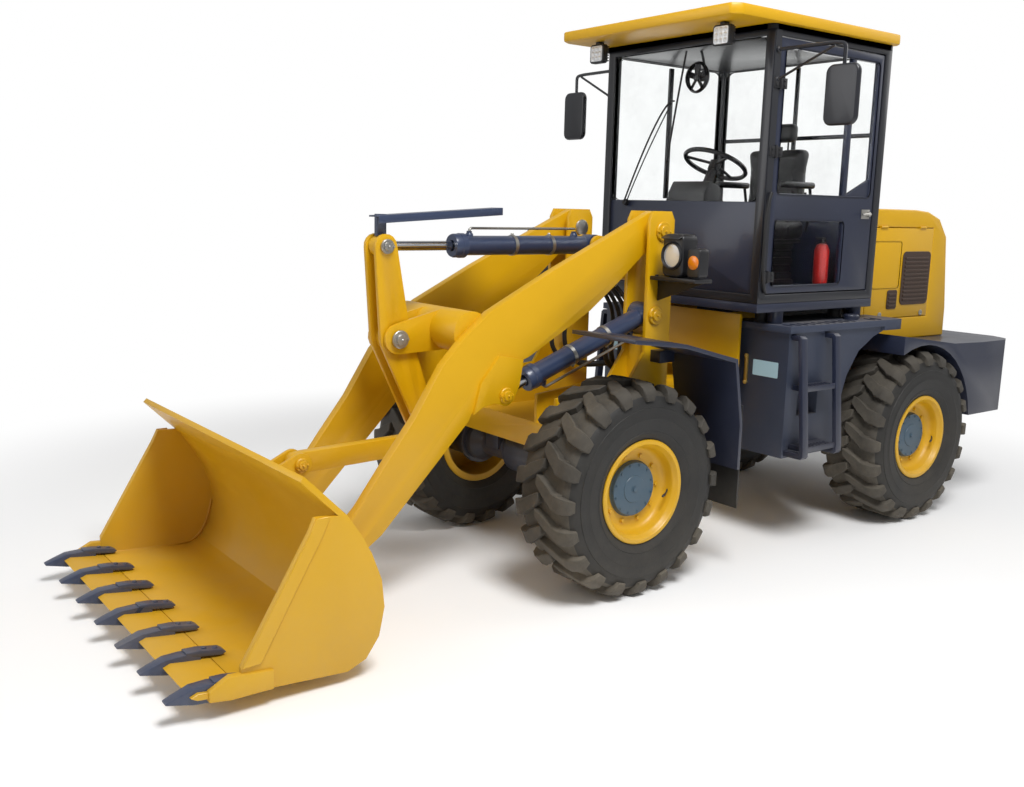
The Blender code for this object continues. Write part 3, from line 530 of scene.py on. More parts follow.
def tread_lugs():
    """Every lug of one tyre about the X axis."""
    single = bmesh.new()
    along, shift, half = LUG[0]
    ends = [single.verts.new((along, shift - half, 0)), single.verts.new((along, shift + half, 0))]
    edge = single.edges.new(ends)
    for along, shift, half in LUG[1:]:
        made = bmesh.ops.extrude_edge_only(single, edges=[edge])
        moved = sorted((g for g in made["geom"] if isinstance(g, bmesh.types.BMVert)),
                       key=lambda v: v.co.y)
        moved[0].co = (along, shift - half, 0)
        moved[1].co = (along, shift + half, 0)
        edge = [g for g in made["geom"] if isinstance(g, bmesh.types.BMEdge)][0]
    made = bmesh.ops.extrude_face_region(single, geom=single.faces[:])
    top = [g for g in made["geom"] if isinstance(g, bmesh.types.BMVert)]
    for vert in top:
        middle = min(LUG, key=lambda row: abs(row[0] - vert.co.x))
        vert.co.y = middle[1] + (vert.co.y - middle[1]) * 0.86
        vert.co.z = LUG_DEPTH
    bmesh.ops.recalc_face_normals(single, faces=single.faces)
    rim_edges = [e for e in single.edges if all(v.co.z > 0.01 for v in e.verts)
                 and len(e.link_faces) == 2 and e.calc_face_angle(0) > 0.6]
    bmesh.ops.bevel(single, geom=rim_edges, offset=0.0045, segments=1, profile=0.5,
                    affect="EDGES", material=-1)
    bm = bmesh.new()
    for side in (1, -1):
        for i in range(LUGS):
            lug = single.copy()
            start = 2 * math.pi * (i + (0.5 if side < 0 else 0.0)) / LUGS
            for vert in lug.verts:
                across, radius = on_crown(vert.co.x, LUG_DEPTH - vert.co.z)
                angle = start + vert.co.y / TYRE_R
                vert.co = (across * side, radius * math.sin(angle), radius * math.cos(angle))
            bmesh.ops.recalc_face_normals(lug, faces=lug.faces)
            merge(bm, lug)
    single.free()
    return bm


def wheel_place(bm, wheel_y, side):
    """Moves a wheel piece, made about the X axis with its outer face at +X, to its hub."""
    if side < 0:
        bmesh.ops.scale(bm, vec=(-1, 1, 1), verts=bm.verts)
        bmesh.ops.reverse_faces(bm, faces=bm.faces)
    bmesh.ops.translate(bm, verts=bm.verts, vec=(side * TRACK_HALF, wheel_y, AXLE_Z))
    return bm


RIM_FACE = ((0.0, 0.058), (0.10, 0.058), (0.214, 0.060), (0.2212, 0.050), (0.2212, -0.168),
            (0.226, -0.177), (0.254, -0.180), (0.262, -0.177), (0.264, -0.171),
            (0.2368, -0.1685), (0.2368, 0.1685), (0.2640, 0.1705), (0.2645, 0.1760),
            (0.2590, 0.1805), (0.2420, 0.1808), (0.2360, 0.1740), (0.2330, 0.1640),
            (0.2280, 0.1600), (0.2240, 0.1480), (0.2215, 0.1250), (0.2150, 0.1040),
            (0.2030, 0.0920), (0.1850, 0.0870), (0.0, 0.0860))
HUB = ((0.0, 0.0855), (0.1440, 0.0855), (0.1440, 0.0900), (0.1405, 0.0925), (0.1385, 0.1050),
       (0.1340, 0.1100), (0.0700, 0.1110), (0.0670, 0.1150), (0.0, 0.1155))
HUB_BOLTS = 12
HUB_BOLT_R = 0.122
RIM_NUTS = 10
RIM_NUT_R = 0.168


def build_wheel(label, wheel_y, side):
    outline = [(r, a) for a, r in reversed(CARCASS)] + [(r, -a) for a, r in CARCASS[1:]]
    bm = lathe(list(reversed(outline)), (0, 0, 0), X_AXIS, 96)
    tread = paint(tread_lugs(), 1)
    for face in bm.faces:
        middle = face.calc_center_median()
        if math.hypot(middle.y, middle.z) > 0.475:
            face.material_index = 1
    merge(bm, tread)
    piece = finish_piece(wheel_place(bm, wheel_y, side), f"tyre_{label}_rubber",
                         f"wheel_{label}", [TYRE, TREAD], 40)
    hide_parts(f"tyre_{label}")

    bm = lathe(list(RIM_FACE), (0, 0, 0), X_AXIS, 72)
    for i in range(RIM_NUTS):
        a = 2 * math.pi * i / RIM_NUTS
        merge(bm, bolt((0.0862, RIM_NUT_R * math.cos(a), RIM_NUT_R * math.sin(a)), X_AXIS,
                       0.011, 0.011))
    hub = lathe(list(HUB), (0, 0, 0), X_AXIS, 48)
    for i in range(HUB_BOLTS):
        a = 2 * math.pi * (i + 0.5) / HUB_BOLTS
        merge(hub, bolt((0.1095, HUB_BOLT_R * math.cos(a), HUB_BOLT_R * math.sin(a)), X_AXIS,
                        0.0062, 0.0055))
    merge(hub, bolt((0.1150, 0, 0), X_AXIS, 0.014, 0.008))
    merge(bm, paint(hub, 1))
    valve = tube([(0.125, 0.2195, -0.03), (0.140, 0.205, -0.035), (0.150, 0.178, -0.045)],
                 0.0045, 8)
    merge(valve, lathe([(0.0, 0), (0.0065, 0), (0.0065, 0.018), (0.004, 0.024), (0, 0.024)],
                       (0.150, 0.178, -0.045), (0.25, -0.93, -0.27), 10))
    merge(bm, paint(valve, 2))
    piece = finish_piece(wheel_place(bm, wheel_y, side), f"rim_{label}_finish",
                         f"wheel_{label}", [YELLOW, TEAL, BLACK])
    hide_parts(f"rim_{label}")


for wheel in WHEELS:
    build_wheel(*wheel)

# ---------------------------------------------------------------- the CAD shapes, softened
SOFT_WIDTH = {"bucket_shell": 0.0035, "cutting_edge": 0.004, "front_chassis": 0.004,
              "rear_chassis": 0.004, "counterweight": 0.012, "engine_hood": 0.030,
              "cab_frame": 0.006, "cab_roof": 0.012, "engine_block": 0.02}
SOFT_NODES = ("front_chassis", "rear_chassis", "counterweight", "boom_arm_left",
              "boom_arm_right", "boom_cross_tube", "bellcrank", "bucket_link", "bucket_shell",
              "front_fender_left", "front_fender_right", "cab_floor",
              "cab_frame", "cab_roof", "side_tank_left", "side_tank_right", "steps_left",
              "steps_right", "rod_guard", "engine_block")
for node in SOFT_NODES:
    softened(node, SOFT_WIDTH.get(node, 0.004), 
             look=DECK if node.startswith("side_tank") else
             POST_BLACK if node == "cab_frame" else None)


# ---------------------------------------------------------------- shared small shapes
def rounded_rect(u0, u1, v0, v1, radius, steps=4):
    points = []
    for cu, cv, start in ((u1 - radius, v1 - radius, 0), (u0 + radius, v1 - radius, 90),
                          (u0 + radius, v0 + radius, 180), (u1 - radius, v0 + radius, 270)):
        for k in range(steps + 1):
            a = math.radians(start + 90 * k / steps)
            points.append((cu + radius * math.cos(a), cv + radius * math.sin(a)))
    return points


def ring(points, width, depth, place, bevel=0.0):
    """A flat frame: the outline inset by width, its middle removed, then given depth."""
    bm = bmesh.new()
    face = bm.faces.new([bm.verts.new(place(u, v, 0.0)) for u, v in points])
    bmesh.ops.inset_region(bm, faces=[face], thickness=width, use_boundary=True,
                           use_even_offset=True)
    middle = max(bm.faces, key=lambda f: len(f.verts))
    bmesh.ops.delete(bm, geom=[middle], context="FACES_ONLY")
    made = bmesh.ops.extrude_face_region(bm, geom=bm.faces[:])
    shift = Vector(place(0, 0, depth)) - Vector(place(0, 0, 0))
    bmesh.ops.translate(bm, verts=[g for g in made["geom"] if isinstance(g, bmesh.types.BMVert)],
                        vec=shift)
    bmesh.ops.recalc_face_normals(bm, faces=bm.faces)
    if bevel:
        soften(bm, bevel, 1, 60)
    return bm


def louvres(u0, u1, v0, v1, count, depth, place):
    """Slats one above another inside a rectangle."""
    bm = bmesh.new()
    pitch = (v1 - v0) / count
    for k in range(count):
        low = v0 + pitch * k
        slat = [(u0, low), (u1, low), (u1, low + pitch * 0.55), (u0, low + pitch * 0.55)]
        merge(bm, plate(slat, depth, place, 0.0015, 1))
    return bm


# ---------------------------------------------------------------- cab
PANE_Z = (1.972, 2.843)
for node, ring_points, place in (
        ("windscreen", rounded_rect(-0.593, 0.593, *PANE_Z, 0.05), front_place(1.044)),
        ("rear_window", rounded_rect(-0.593, 0.593, *PANE_Z, 0.05), front_place(2.060)),
        ("right_window", rounded_rect(1.092, 2.038, *PANE_Z, 0.05), side_place(-0.640))):
    finish_piece(ring(ring_points, 0.022, 0.022, place, 0.003), f"{node}_seal", "rear_frame",
                 SEAL)
for node, u0, u1, place in (("cab_front_panel", -0.5945, 0.5945, front_place(1.045)),
                            ("cab_rear_panel", -0.5945, 0.5945, front_place(2.060))):
    made = finish_piece(plate(rounded_rect(u0, u1, 1.4606, 1.9698, 0.02), 0.020, place, 0.004),
                        f"{node}_finish", "rear_frame", NAVY)
    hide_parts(node)
made = finish_piece(plate(rounded_rect(1.0905, 2.0395, 1.4606, 1.9698, 0.02), 0.020,
                          side_place(-0.640), 0.004), "cab_right_panel_finish", "rear_frame",
                    NAVY)
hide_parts("cab_right_panel")

# Rear and right window bars, and the opening rear quarter
bm = block(-0.59, 0.59, 2.062, 2.082, 2.375, 2.400, 0.003)
merge(bm, block(-0.012, 0.012, 2.062, 2.082, 1.99, 2.83, 0.003))
merge(bm, block(-0.640, -0.622, 1.55, 1.585, 1.99, 2.83, 0.003))
finish_piece(bm, "window_bars", "rear_frame", POST_BLACK)

# Door: pressed frame, divider, slanted rear corner, seals, handle and hinges
softened("cab_door", 0.005)
bm = block(0.618, 0.648, 1.735, 1.772, 2.015, 2.795, 0.003)
merge(bm, plate([(1.765, 2.012), (1.995, 2.012), (1.995, 2.125), (1.765, 2.022)], 0.024,
                side_place(0.621), 0.002, 1))
finish_piece(bm, "door_divider", "cab_door", NAVY)
bm = bmesh.new()
for points in (rounded_rect(1.135, 1.995, 2.015, 2.795, 0.03),
               rounded_rect(1.135, 1.765, 1.505, 1.875, 0.03)):
    merge(bm, ring(points, 0.016, 0.010, side_place(0.646), 0.002))
finish_piece(bm, "door_seals", "cab_door", SEAL)
bm = block(0.650, 0.656, 1.925, 2.005, 1.890, 1.945, 0.002)
merge(bm, lathe([(0, 0), (0.014, 0), (0.014, 0.018), (0.010, 0.022), (0, 0.022)],
                (0.655, 1.985, 1.917), X_AXIS, 20))
merge(bm, tube([(0.672, 1.990, 1.917), (0.684, 1.985, 1.917), (0.688, 1.94, 1.919),
                (0.688, 1.89, 1.915)], 0.0065, 10))
finish_piece(bm, "door_handle", "cab_door", ZINC)
HINGE_Z = (1.56, 2.24, 2.60)
bm = bmesh.new()
for z in HINGE_Z:
    merge(bm, block(0.6505, 0.662, 1.100, 1.150, z - 0.028, z + 0.028, 0.003))
    merge(bm, bolts([(0.662, 1.128, z - 0.013), (0.662, 1.128, z + 0.013)], X_AXIS, 0.006, 0.005))
finish_piece(bm, "door_hinge_leaves", "cab_door", BLACK)
bm = bmesh.new()
for z in HINGE_Z:
    merge(bm, block(0.6555, 0.667, 1.040, 1.082, z - 0.028, z + 0.028, 0.003))
    merge(bm, lathe([(0, -0.034), (0.0075, -0.034), (0.0085, -0.030), (0.0085, 0.030),
                     (0.0075, 0.034), (0, 0.034)], (0.664, 1.0905, z), Z_AXIS, 16))
    merge(bm, bolts([(0.667, 1.058, z - 0.013), (0.667, 1.058, z + 0.013)], X_AXIS, 0.006, 0.005))
finish_piece(bm, "door_hinges", "rear_frame", BLACK)

# Dark cover over the door's front post, with the drain hose that runs down it
bm = plate(rounded_rect(1.036, 1.086, 1.44, 2.88, 0.012), 0.004, side_place(0.6553), 0.0015, 1)
finish_piece(bm, "front_post_cover", "rear_frame", POST_BLACK)
bm = tube([(0.672, 1.070, 2.02), (0.674, 1.040, 1.97), (0.674, 1.030, 1.70), (0.674, 1.045, 1.50),
           (0.668, 1.075, 1.475)], 0.009, 12)
finish_piece(bm, "post_hose", "rear_frame", HOSE)

# Roof: gutter lip below the slab and lining inside, both black as painted shade under the roof;
# slatted vent on top
# The lip's black is painted shade along the shadowed underside of the roof's edge
bm = ring(rounded_rect(-0.665, 0.665, 1.00, 2.105, 0.04), 0.020, 0.030, plan_place(2.872), 0.003)
finish_piece(bm, "roof_gutter_painted_shade", "rear_frame", POST_BLACK)
# The lining's black is painted shade under the roof inside the cab
bm = block(-0.60, 0.60, 1.075, 2.055, 2.850, 2.868, 0.006)
finish_piece(bm, "roof_lining_painted_shade", "rear_frame", POST_BLACK)
bm = block(-0.36, 0.30, 0.84, 1.44, 2.9604, 2.975, 0.004)
for k in range(13):
    merge(bm, block(-0.345, 0.285, 0.855 + 0.045 * k, 0.875 + 0.045 * k, 2.972, 3.000, 0.004))
merge(bm, block(-0.365, -0.345, 0.84, 1.44, 2.972, 3.004, 0.004))
merge(bm, block(0.285, 0.305, 0.84, 1.44, 2.972, 3.004, 0.004))
finish_piece(bm, "roof_vent", "rear_frame", BLACK)

# Wiper
WIPER_Y = 1.030
bm = lathe([(0, -0.014), (0.020, -0.014), (0.022, -0.004), (0.016, 0.012), (0, 0.014)],
           (-0.449, WIPER_Y, 1.956), -Y_AXIS, 20)
merge(bm, tube([(-0.449, WIPER_Y - 0.012, 1.956), (-0.30, WIPER_Y - 0.016, 2.26),
                (-0.100, WIPER_Y - 0.010, 2.565), (-0.060, WIPER_Y - 0.004, 2.545)], 0.0055, 8))
merge(bm, tube([(-0.43, WIPER_Y - 0.008, 1.956), (-0.28, WIPER_Y - 0.012, 2.24),
                (-0.085, WIPER_Y - 0.006, 2.53)], 0.004, 8))
merge(bm, tube([(0.007, WIPER_Y + 0.008, 2.825), (-0.050, WIPER_Y + 0.004, 2.53),
                (-0.108, WIPER_Y + 0.008, 2.208)], 0.006, 8))
finish_piece(bm, "wiper", "rear_frame", BLACK)

# Mirrors
for label, side in SIDES:
    arm = [(0.668, 1.060, 2.770), (0.98, 1.095, 2.775), (1.048, 1.105, 2.770),
           (1.048, 1.108, 2.40)]
    bm = tube([(x * side, y, z) for x, y, z in arm], 0.010, 12, bend=0.05)
    brace = [(0.668, 1.060, 2.615), (0.99, 1.095, 2.762)]
    merge(bm, tube([(x * side, y, z) for x, y, z in brace], 0.007, 10))
    for z in (2.770, 2.615):
        merge(bm, lathe([(0, 0), (0.017, 0), (0.017, 0.012), (0.012, 0.016), (0, 0.016)],
                        (0.656 * side, 1.060, z), X_AXIS * side, 20))
        merge(bm, bolt((0.672 * side, 1.060, z), X_AXIS * side, 0.007, 0.006))
    for z in (2.60, 2.44):
        merge(bm, block(*sorted((1.033 * side, 1.063 * side)), 1.092, 1.120, z - 0.014,
                        z + 0.014, 0.003))
    low, high = sorted((0.950 * side, 1.150 * side))
    shell = plate(rounded_rect(low, high, 2.362, 2.668, 0.045, 6), 0.034, front_place(1.086),
                  0.012, 4)
    merge(bm, shell)
    glass = plate(rounded_rect(low + 0.012, high - 0.012, 2.374, 2.656, 0.036, 6), 0.003,
                  front_place(1.1195), 0.001, 1)
    merge(bm, paint(glass, 1))
    made = finish_piece(bm, f"mirror_{label}_finish", "rear_frame", [POST_BLACK, MIRROR])
    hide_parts(f"mirror_{label}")

# Work lamps: finned square housings with a grid of small lenses
for label, side in SIDES:
    x0, x1 = sorted((0.435 * side, 0.555 * side))
    bm = plate(rounded_rect(x0, x1, 2.775, 2.885, 0.018), 0.040, front_place(0.785), 0.005)
    for k in range(6):
        merge(bm, block(x0 + 0.012, x1 - 0.012, 0.825, 0.845, 2.788 + 0.016 * k,
                        2.795 + 0.016 * k, 0.001, 1))
    merge(bm, block(*sorted((0.478 * side, 0.512 * side)), 0.79, 0.83, 2.883, 2.8997, 0.003))
    face = plate(rounded_rect(x0 + 0.010, x1 - 0.010, 2.785, 2.875, 0.012), 0.004,
                 front_place(0.7825), 0.001, 1)
    merge(bm, paint(face, 1))
    lenses = bmesh.new()
    for i in range(3):
        for k in range(3):
            merge(lenses, lathe([(0, 0.006), (0.008, 0.004), (0.0125, 0.0), (0.0, 0.0)],
                                ((x0 + x1) / 2 + 0.031 * (i - 1), 0.7825,
                                 2.830 + 0.028 * (k - 1)), -Y_AXIS, 16))
    merge(bm, paint(lenses, 1))
    made = finish_piece(bm, f"work_lamp_{label}_finish", "rear_frame", [BLACK, LAMP])
    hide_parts(f"work_lamp_{label}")

# ---------------------------------------------------------------- inside the cab
bm = plate([(1.10, 1.412), (1.10, 2.02), (1.14, 2.09), (1.24, 2.06), (1.27, 1.95), (1.24, 1.86),
            (1.23, 1.60), (1.28, 1.412)], 0.30, side_place(-0.15), 0.012)
merge(bm, tube([(0, 1.20, 1.90), (0, 1.26, 2.03), (0, 1.326, 2.155)], 0.032, 16))
merge(bm, plate(rounded_rect(-0.13, 0.13, 1.98, 2.05, 0.02), 0.012, front_place(1.262), 0.004))
made = finish_piece(bm, "steering_column_finish", "rear_frame", BLACK)
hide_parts("steering_column")
bm = block(-0.585, -0.32, 1.30, 1.98, 1.4105, 1.78, 0.025, 3)
for k, y in enumerate((1.40, 1.47, 1.54)):
    lean = 0.01 * k
    merge(bm, tube([(-0.42, y, 1.77), (-0.42 + lean, y - 0.01, 1.88), (-0.41, y - 0.02, 1.96)],
                   0.007, 8))
    merge(bm, lathe([(0, -0.02), (0.014, -0.018), (0.019, 0.0), (0.014, 0.018), (0, 0.022)],
                    (-0.41, y - 0.02, 1.975), Z_AXIS, 16))
    merge(bm, lathe([(0.026, 0), (0.020, 0.012), (0.022, 0.018), (0.013, 0.030), (0.008, 0.04)],
                    (-0.42, y, 1.778), Z_AXIS, 16))
finish_piece(bm, "side_console", "rear_frame", BLACK)
bm = lathe([(0.080, -0.02), (0.092, 0.0), (0.080, 0.02)], (-0.05, 1.20, 2.695), -Y_AXIS, 28)
for k in range(5):
    a = 2 * math.pi * k / 5
    blade = block(-0.018, 0.018, -0.003, 0.003, 0.012, 0.078, 0.002, 1)
    blade.transform(Matrix.Translation((-0.05, 1.20, 2.695)) @ Matrix.Rotation(a, 4, "Y")
                    @ Matrix.Rotation(0.5, 4, "Z"))
    merge(bm, blade)
merge(bm, lathe([(0, -0.02), (0.022, -0.012), (0.024, 0.02), (0.018, 0.06), (0, 0.065)],
                (-0.05, 1.20, 2.695), Y_AXIS, 20))
merge(bm, tube([(-0.05, 1.255, 2.70), (-0.05, 1.27, 2.76), (-0.05, 1.22, 2.852)], 0.008, 10))
finish_piece(bm, "cab_fan", "rear_frame", BLACK)
bm = lathe([(0, 0), (0.040, 0.0), (0.044, 0.012), (0.044, 0.20), (0.032, 0.232), (0.014, 0.240),
            (0.0, 0.240)], (0.54, 1.725, 1.50), Z_AXIS, 28)
paint(bm, 1)
merge(bm, lathe([(0, 0.238), (0.014, 0.238), (0.014, 0.262), (0.0, 0.262)], (0.54, 1.725, 1.50),
                Z_AXIS, 16))
merge(bm, block(0.50, 0.555, 1.712, 1.738, 1.762, 1.775, 0.003))
merge(bm, tube([(0.54, 1.735, 1.755), (0.54, 1.79, 1.72), (0.545, 1.775, 1.60)], 0.008, 8))
finish_piece(bm, "fire_extinguisher", "rear_frame", [BLACK, RED])
bm = block(-0.59, 0.59, 1.07, 2.05, 1.4104, 1.4230, 0.004)
finish_piece(bm, "floor_mat", "rear_frame", SEAL)


# Seat: a sprung base, then a cushion, backrest and headrest swollen by pressure
def pillow(x0, x1, y0, y1, z0, z1, round_off, sag):
    """A rounded pad with pulled-in sides, ready to be swollen."""
    bm = block(x0, x1, y0, y1, z0, z1, round_off, 4)
    bmesh.ops.subdivide_edges(bm, edges=bm.edges[:], cuts=2, use_grid_fill=True)
    centre = Vector(((x0 + x1) / 2, (y0 + y1) / 2, (z0 + z1) / 2))
    half = Vector(((x1 - x0) / 2, (y1 - y0) / 2, (z1 - z0) / 2))
    for vert in bm.verts:
        away = vert.co - centre
        u, v, w = (away[i] / half[i] for i in range(3))
        vert.co.x -= sag * u * (1 - v * v) * (1 - w * w) * 0.6
        vert.co.y -= sag * v * (1 - u * u) * (1 - w * w) * 0.4
    return bm


def swell(bm, name, body, look, pressure=3.5, cap=0.014):
    """Remeshes a pad, swells it under pressure and keeps the result."""
    bmesh.ops.translate(bm, verts=bm.verts, vec=(0, OFFSET_Y, 0))
    mesh = bpy.data.meshes.new(name)
    bm.to_mesh(mesh)
    bm.free()
    pad = bpy.data.objects.new(name, mesh)
    bpy.context.scene.collection.objects.link(pad)
    remesh = pad.modifiers.new("remesh", "REMESH")
    remesh.mode = "VOXEL"
    remesh.voxel_size = 0.010
    apply_modifiers(pad)
    before = [v.co.copy() for v in pad.data.vertices]
    cloth = pad.modifiers.new("cloth", "CLOTH")
    cloth.settings.quality = 5
    cloth.settings.use_pressure = True
    cloth.settings.uniform_pressure_force = pressure
    cloth.settings.effector_weights.gravity = 0
    cloth.settings.tension_stiffness = 25
    cloth.settings.compression_stiffness = 25
    cloth.settings.bending_stiffness = 1.5
    for number in range(1, 13):
        bpy.context.scene.frame_set(number)
    apply_modifiers(pad)
    for vert, start in zip(pad.data.vertices, before):
        move = vert.co - start
        if move.length > cap:
            vert.co = start + move * (cap / move.length)
    bpy.context.scene.frame_set(1)
    smooth = pad.modifiers.new("smooth", "SUBSURF")
    smooth.levels = smooth.render_levels = 1
    for face in pad.data.polygons:
        face.use_smooth = True
    pad.data.materials.append(look)
    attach(pad, body)
    return pad


def apply_modifiers(obj):
    graph = bpy.context.evaluated_depsgraph_get()
    graph.update()
    made = bpy.data.meshes.new_from_object(obj.evaluated_get(graph))
    obj.modifiers.clear()
    old = obj.data
    obj.data = made
    bpy.data.meshes.remove(old)


cushion = swell(pillow(-0.235, 0.235, 1.515, 1.965, 1.755, 1.865, 0.035, 0.02), "seat_cushion",
                "rear_frame", VINYL)
swell(pillow(-0.220, 0.220, 1.885, 1.985, 1.885, 2.315, 0.035, 0.02), "seat_back",
      "rear_frame", VINYL)
swell(pillow(-0.120, 0.120, 1.905, 1.980, 2.355, 2.470, 0.030, 0.01), "seat_headrest",
      "rear_frame", VINYL)
bm = block(-0.20, 0.20, 1.60, 1.92, 1.4105, 1.50, 0.01)
for k in range(5):
    merge(bm, block(-0.19 + 0.008 * (k % 2), 0.19 - 0.008 * (k % 2), 1.61, 1.91,
                    1.50 + 0.046 * k, 1.545 + 0.046 * k, 0.012, 2))
merge(bm, block(-0.21, 0.21, 1.55, 1.95, 1.728, 1.752, 0.006))
merge(bm, tube([(-0.06, 1.945, 2.30), (-0.06, 1.945, 2.37)], 0.006, 8))
merge(bm, tube([(0.06, 1.945, 2.30), (0.06, 1.945, 2.37)], 0.006, 8))
for side in (1, -1):
    merge(bm, tube([(0.235 * side, 1.95, 1.80), (0.262 * side, 1.965, 1.95),
                    (0.262 * side, 1.93, 2.075)], 0.010, 8))
    merge(bm, block(*sorted((0.236 * side, 0.286 * side)), 1.66, 1.96, 2.065, 2.105, 0.016, 3))
made = finish_piece(bm, "seat_base", "rear_frame", BLACK)
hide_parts("seat")


# ---------------------------------------------------------------- bucket edge and teeth
EDGE_HALF = 0.926
TOOTH_COUNT = 7
TOOTH_PITCH = (2 * EDGE_HALF - 0.09) / (TOOTH_COUNT - 1)
# Stations of one tooth from root to tip: y, bottom, top, half width
TOOTH = ((-2.145, 0.070, 0.131, 0.027), (-2.215, 0.068, 0.142, 0.029),
         (-2.285, 0.076, 0.140, 0.028), (-2.345, 0.090, 0.120, 0.025),
         (-2.385, 0.098, 0.106, 0.021))
BUCKET_BODY = BODY_OF["bucket_shell"]
lip = plate([(-2.1055, 0.078), (-2.1055, 0.103), (-2.270, 0.124), (-2.300, 0.112),
             (-2.275, 0.098)], 2 * EDGE_HALF, side_place(-EDGE_HALF), 0.002, 1)
for side in (1, -1):
    x0, x1 = sorted((0.905 * side, 0.9385 * side))
    merge(lip, plate([(-1.820, 0.660), (-1.792, 0.716), (-1.735, 0.716), (-1.770, 0.640),
                      (-2.030, 0.185), (-2.105, 0.180)], 0.010,
                     side_place(0.9265 if side > 0 else -0.9365), 0.002, 1))
    merge(lip, plate([(-2.235, 0.082), (-2.150, 0.070), (-1.98, 0.070), (-1.98, 0.150),
                      (-2.150, 0.165), (-2.235, 0.122)], x1 - x0, side_place(x0), 0.004))
lip_piece = finish_piece(lip, "bucket_lip", BUCKET_BODY, YELLOW)

teeth = bmesh.new()
for i in range(TOOTH_COUNT):
    x = -EDGE_HALF + 0.045 + i * TOOTH_PITCH
    one = bmesh.new()
    y, low, high, half = TOOTH[0]
    face = one.faces.new([one.verts.new((x + sx * half, y, z))
                          for sx, z in ((-1, low), (1, low), (1, high), (-1, high))])
    front = face
    for y, low, high, half in TOOTH[1:]:
        made = bmesh.ops.extrude_face_region(one, geom=[front])
        for vert in made["geom"]:
            if isinstance(vert, bmesh.types.BMVert):
                upper = vert.co.z > (TOOTH[0][1] + TOOTH[0][2]) / 2 if y == TOOTH[1][0] \
                    else vert.co.z > middle
                vert.co = (x + math.copysign(half, vert.co.x - x), y, high if upper else low)
        middle = (low + high) / 2
        front = [g for g in made["geom"] if isinstance(g, bmesh.types.BMFace)][0]
    bmesh.ops.contextual_create(one, geom=[e for e in one.edges if e.is_boundary])
    bmesh.ops.recalc_face_normals(one, faces=one.faces)
    soften(one, 0.004, 2, 25)
    merge(teeth, one)
    # adapter strap over the lip, with two bolts through it
    merge(teeth, plate([(-2.205, 0.128), (-2.060, 0.107), (-2.040, 0.116), (-2.060, 0.130),
                        (-2.150, 0.146), (-2.205, 0.148)], 0.056, side_place(x - 0.028), 0.003))
    merge(teeth, bolts([(x, -2.080, 0.126), (x, -2.125, 0.136)], Z_AXIS, 0.011, 0.012))
made = finish_piece(teeth, "bucket_teeth", BUCKET_BODY, STEEL_BLUE)
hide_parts("cutting_edge")
# Weld seams in the bowl
bm = bmesh.new()
for side in (1, -1):
    inside = 0.900 * side
    merge(bm, tube([(inside, -2.09, 0.100), (inside, -1.68, 0.072), (inside, -1.60, 0.105),
                    (inside, -1.545, 0.19), (inside, -1.52, 0.30)], 0.006, 8))
finish_piece(bm, "bucket_seams", BUCKET_BODY, YELLOW)


# ---------------------------------------------------------------- pins and fasteners
def pin_head(place, direction, radius=0.050):
    """A flanged pin end with a keeper bar, two bolts and a grease nipple."""
    away = Vector(direction)
    bm = lathe([(0, 0), (radius, 0), (radius, 0.008), (radius - 0.004, 0.012),
                (radius * 0.62, 0.012), (radius * 0.60, 0.020), (radius * 0.54, 0.023),
                (0, 0.023)], place, direction, 32)
    spot = Vector(place) + away * 0.012
    merge(bm, bolts([spot + Vector((0, 0.80 * radius, 0)), spot - Vector((0, 0.80 * radius, 0))],
                    direction, radius * 0.15, 0.007))
    merge(bm, lathe([(0, 0), (0.006, 0), (0.006, 0.006), (0.0035, 0.008), (0.004, 0.013),
                     (0, 0.014)], Vector(place) + away * 0.0225, direction, 12))
    return bm


PINS = (("boom_pins", "front_chassis", 0.4255, (0.50, 1.80), 0.052),
        ("lift_base_pins", "front_chassis", 0.4255, (0.47, 1.35), 0.050),
        ("lift_eye_pins", "boom_arm_left", 0.3815, (-0.49, 0.99), 0.040),
        ("bucket_pins", "bucket_shell", 0.3910, (-1.38, 0.34), 0.050),
        ("crank_pins", "boom_cross_tube", 0.0985, (-0.93, 1.26), 0.045),
        ("crank_top_pins", "bellcrank", 0.0655, (-0.985, 1.707), 0.036),
        ("crank_foot_pins", "bellcrank", 0.0655, (-0.70, 0.71), 0.036),
        ("hook_pins", "bucket_shell", 0.0605, (-1.44, 0.69), 0.034))
for name, node, across, (y, z), radius in PINS:
    bm = bmesh.new()
    for _, side in SIDES:
        merge(bm, pin_head((across * side, y, z), X_AXIS * side, radius))
    finish_piece(bm, name, BODY_OF[node], YELLOW if "crank" not in name else ZINC)

# Inner pin ends between the tower plates' inner faces
bm = bmesh.new()
for _, side in SIDES:
    for y, z in ((0.50, 1.80), (0.47, 1.35)):
        merge(bm, lathe([(0, 0), (0.046, 0), (0.046, 0.008), (0.040, 0.012), (0, 0.012)],
                        (0.2445 * side, y, z), -X_AXIS * side, 28))
finish_piece(bm, "tower_inner_pins", BODY_OF["front_chassis"], ZINC)

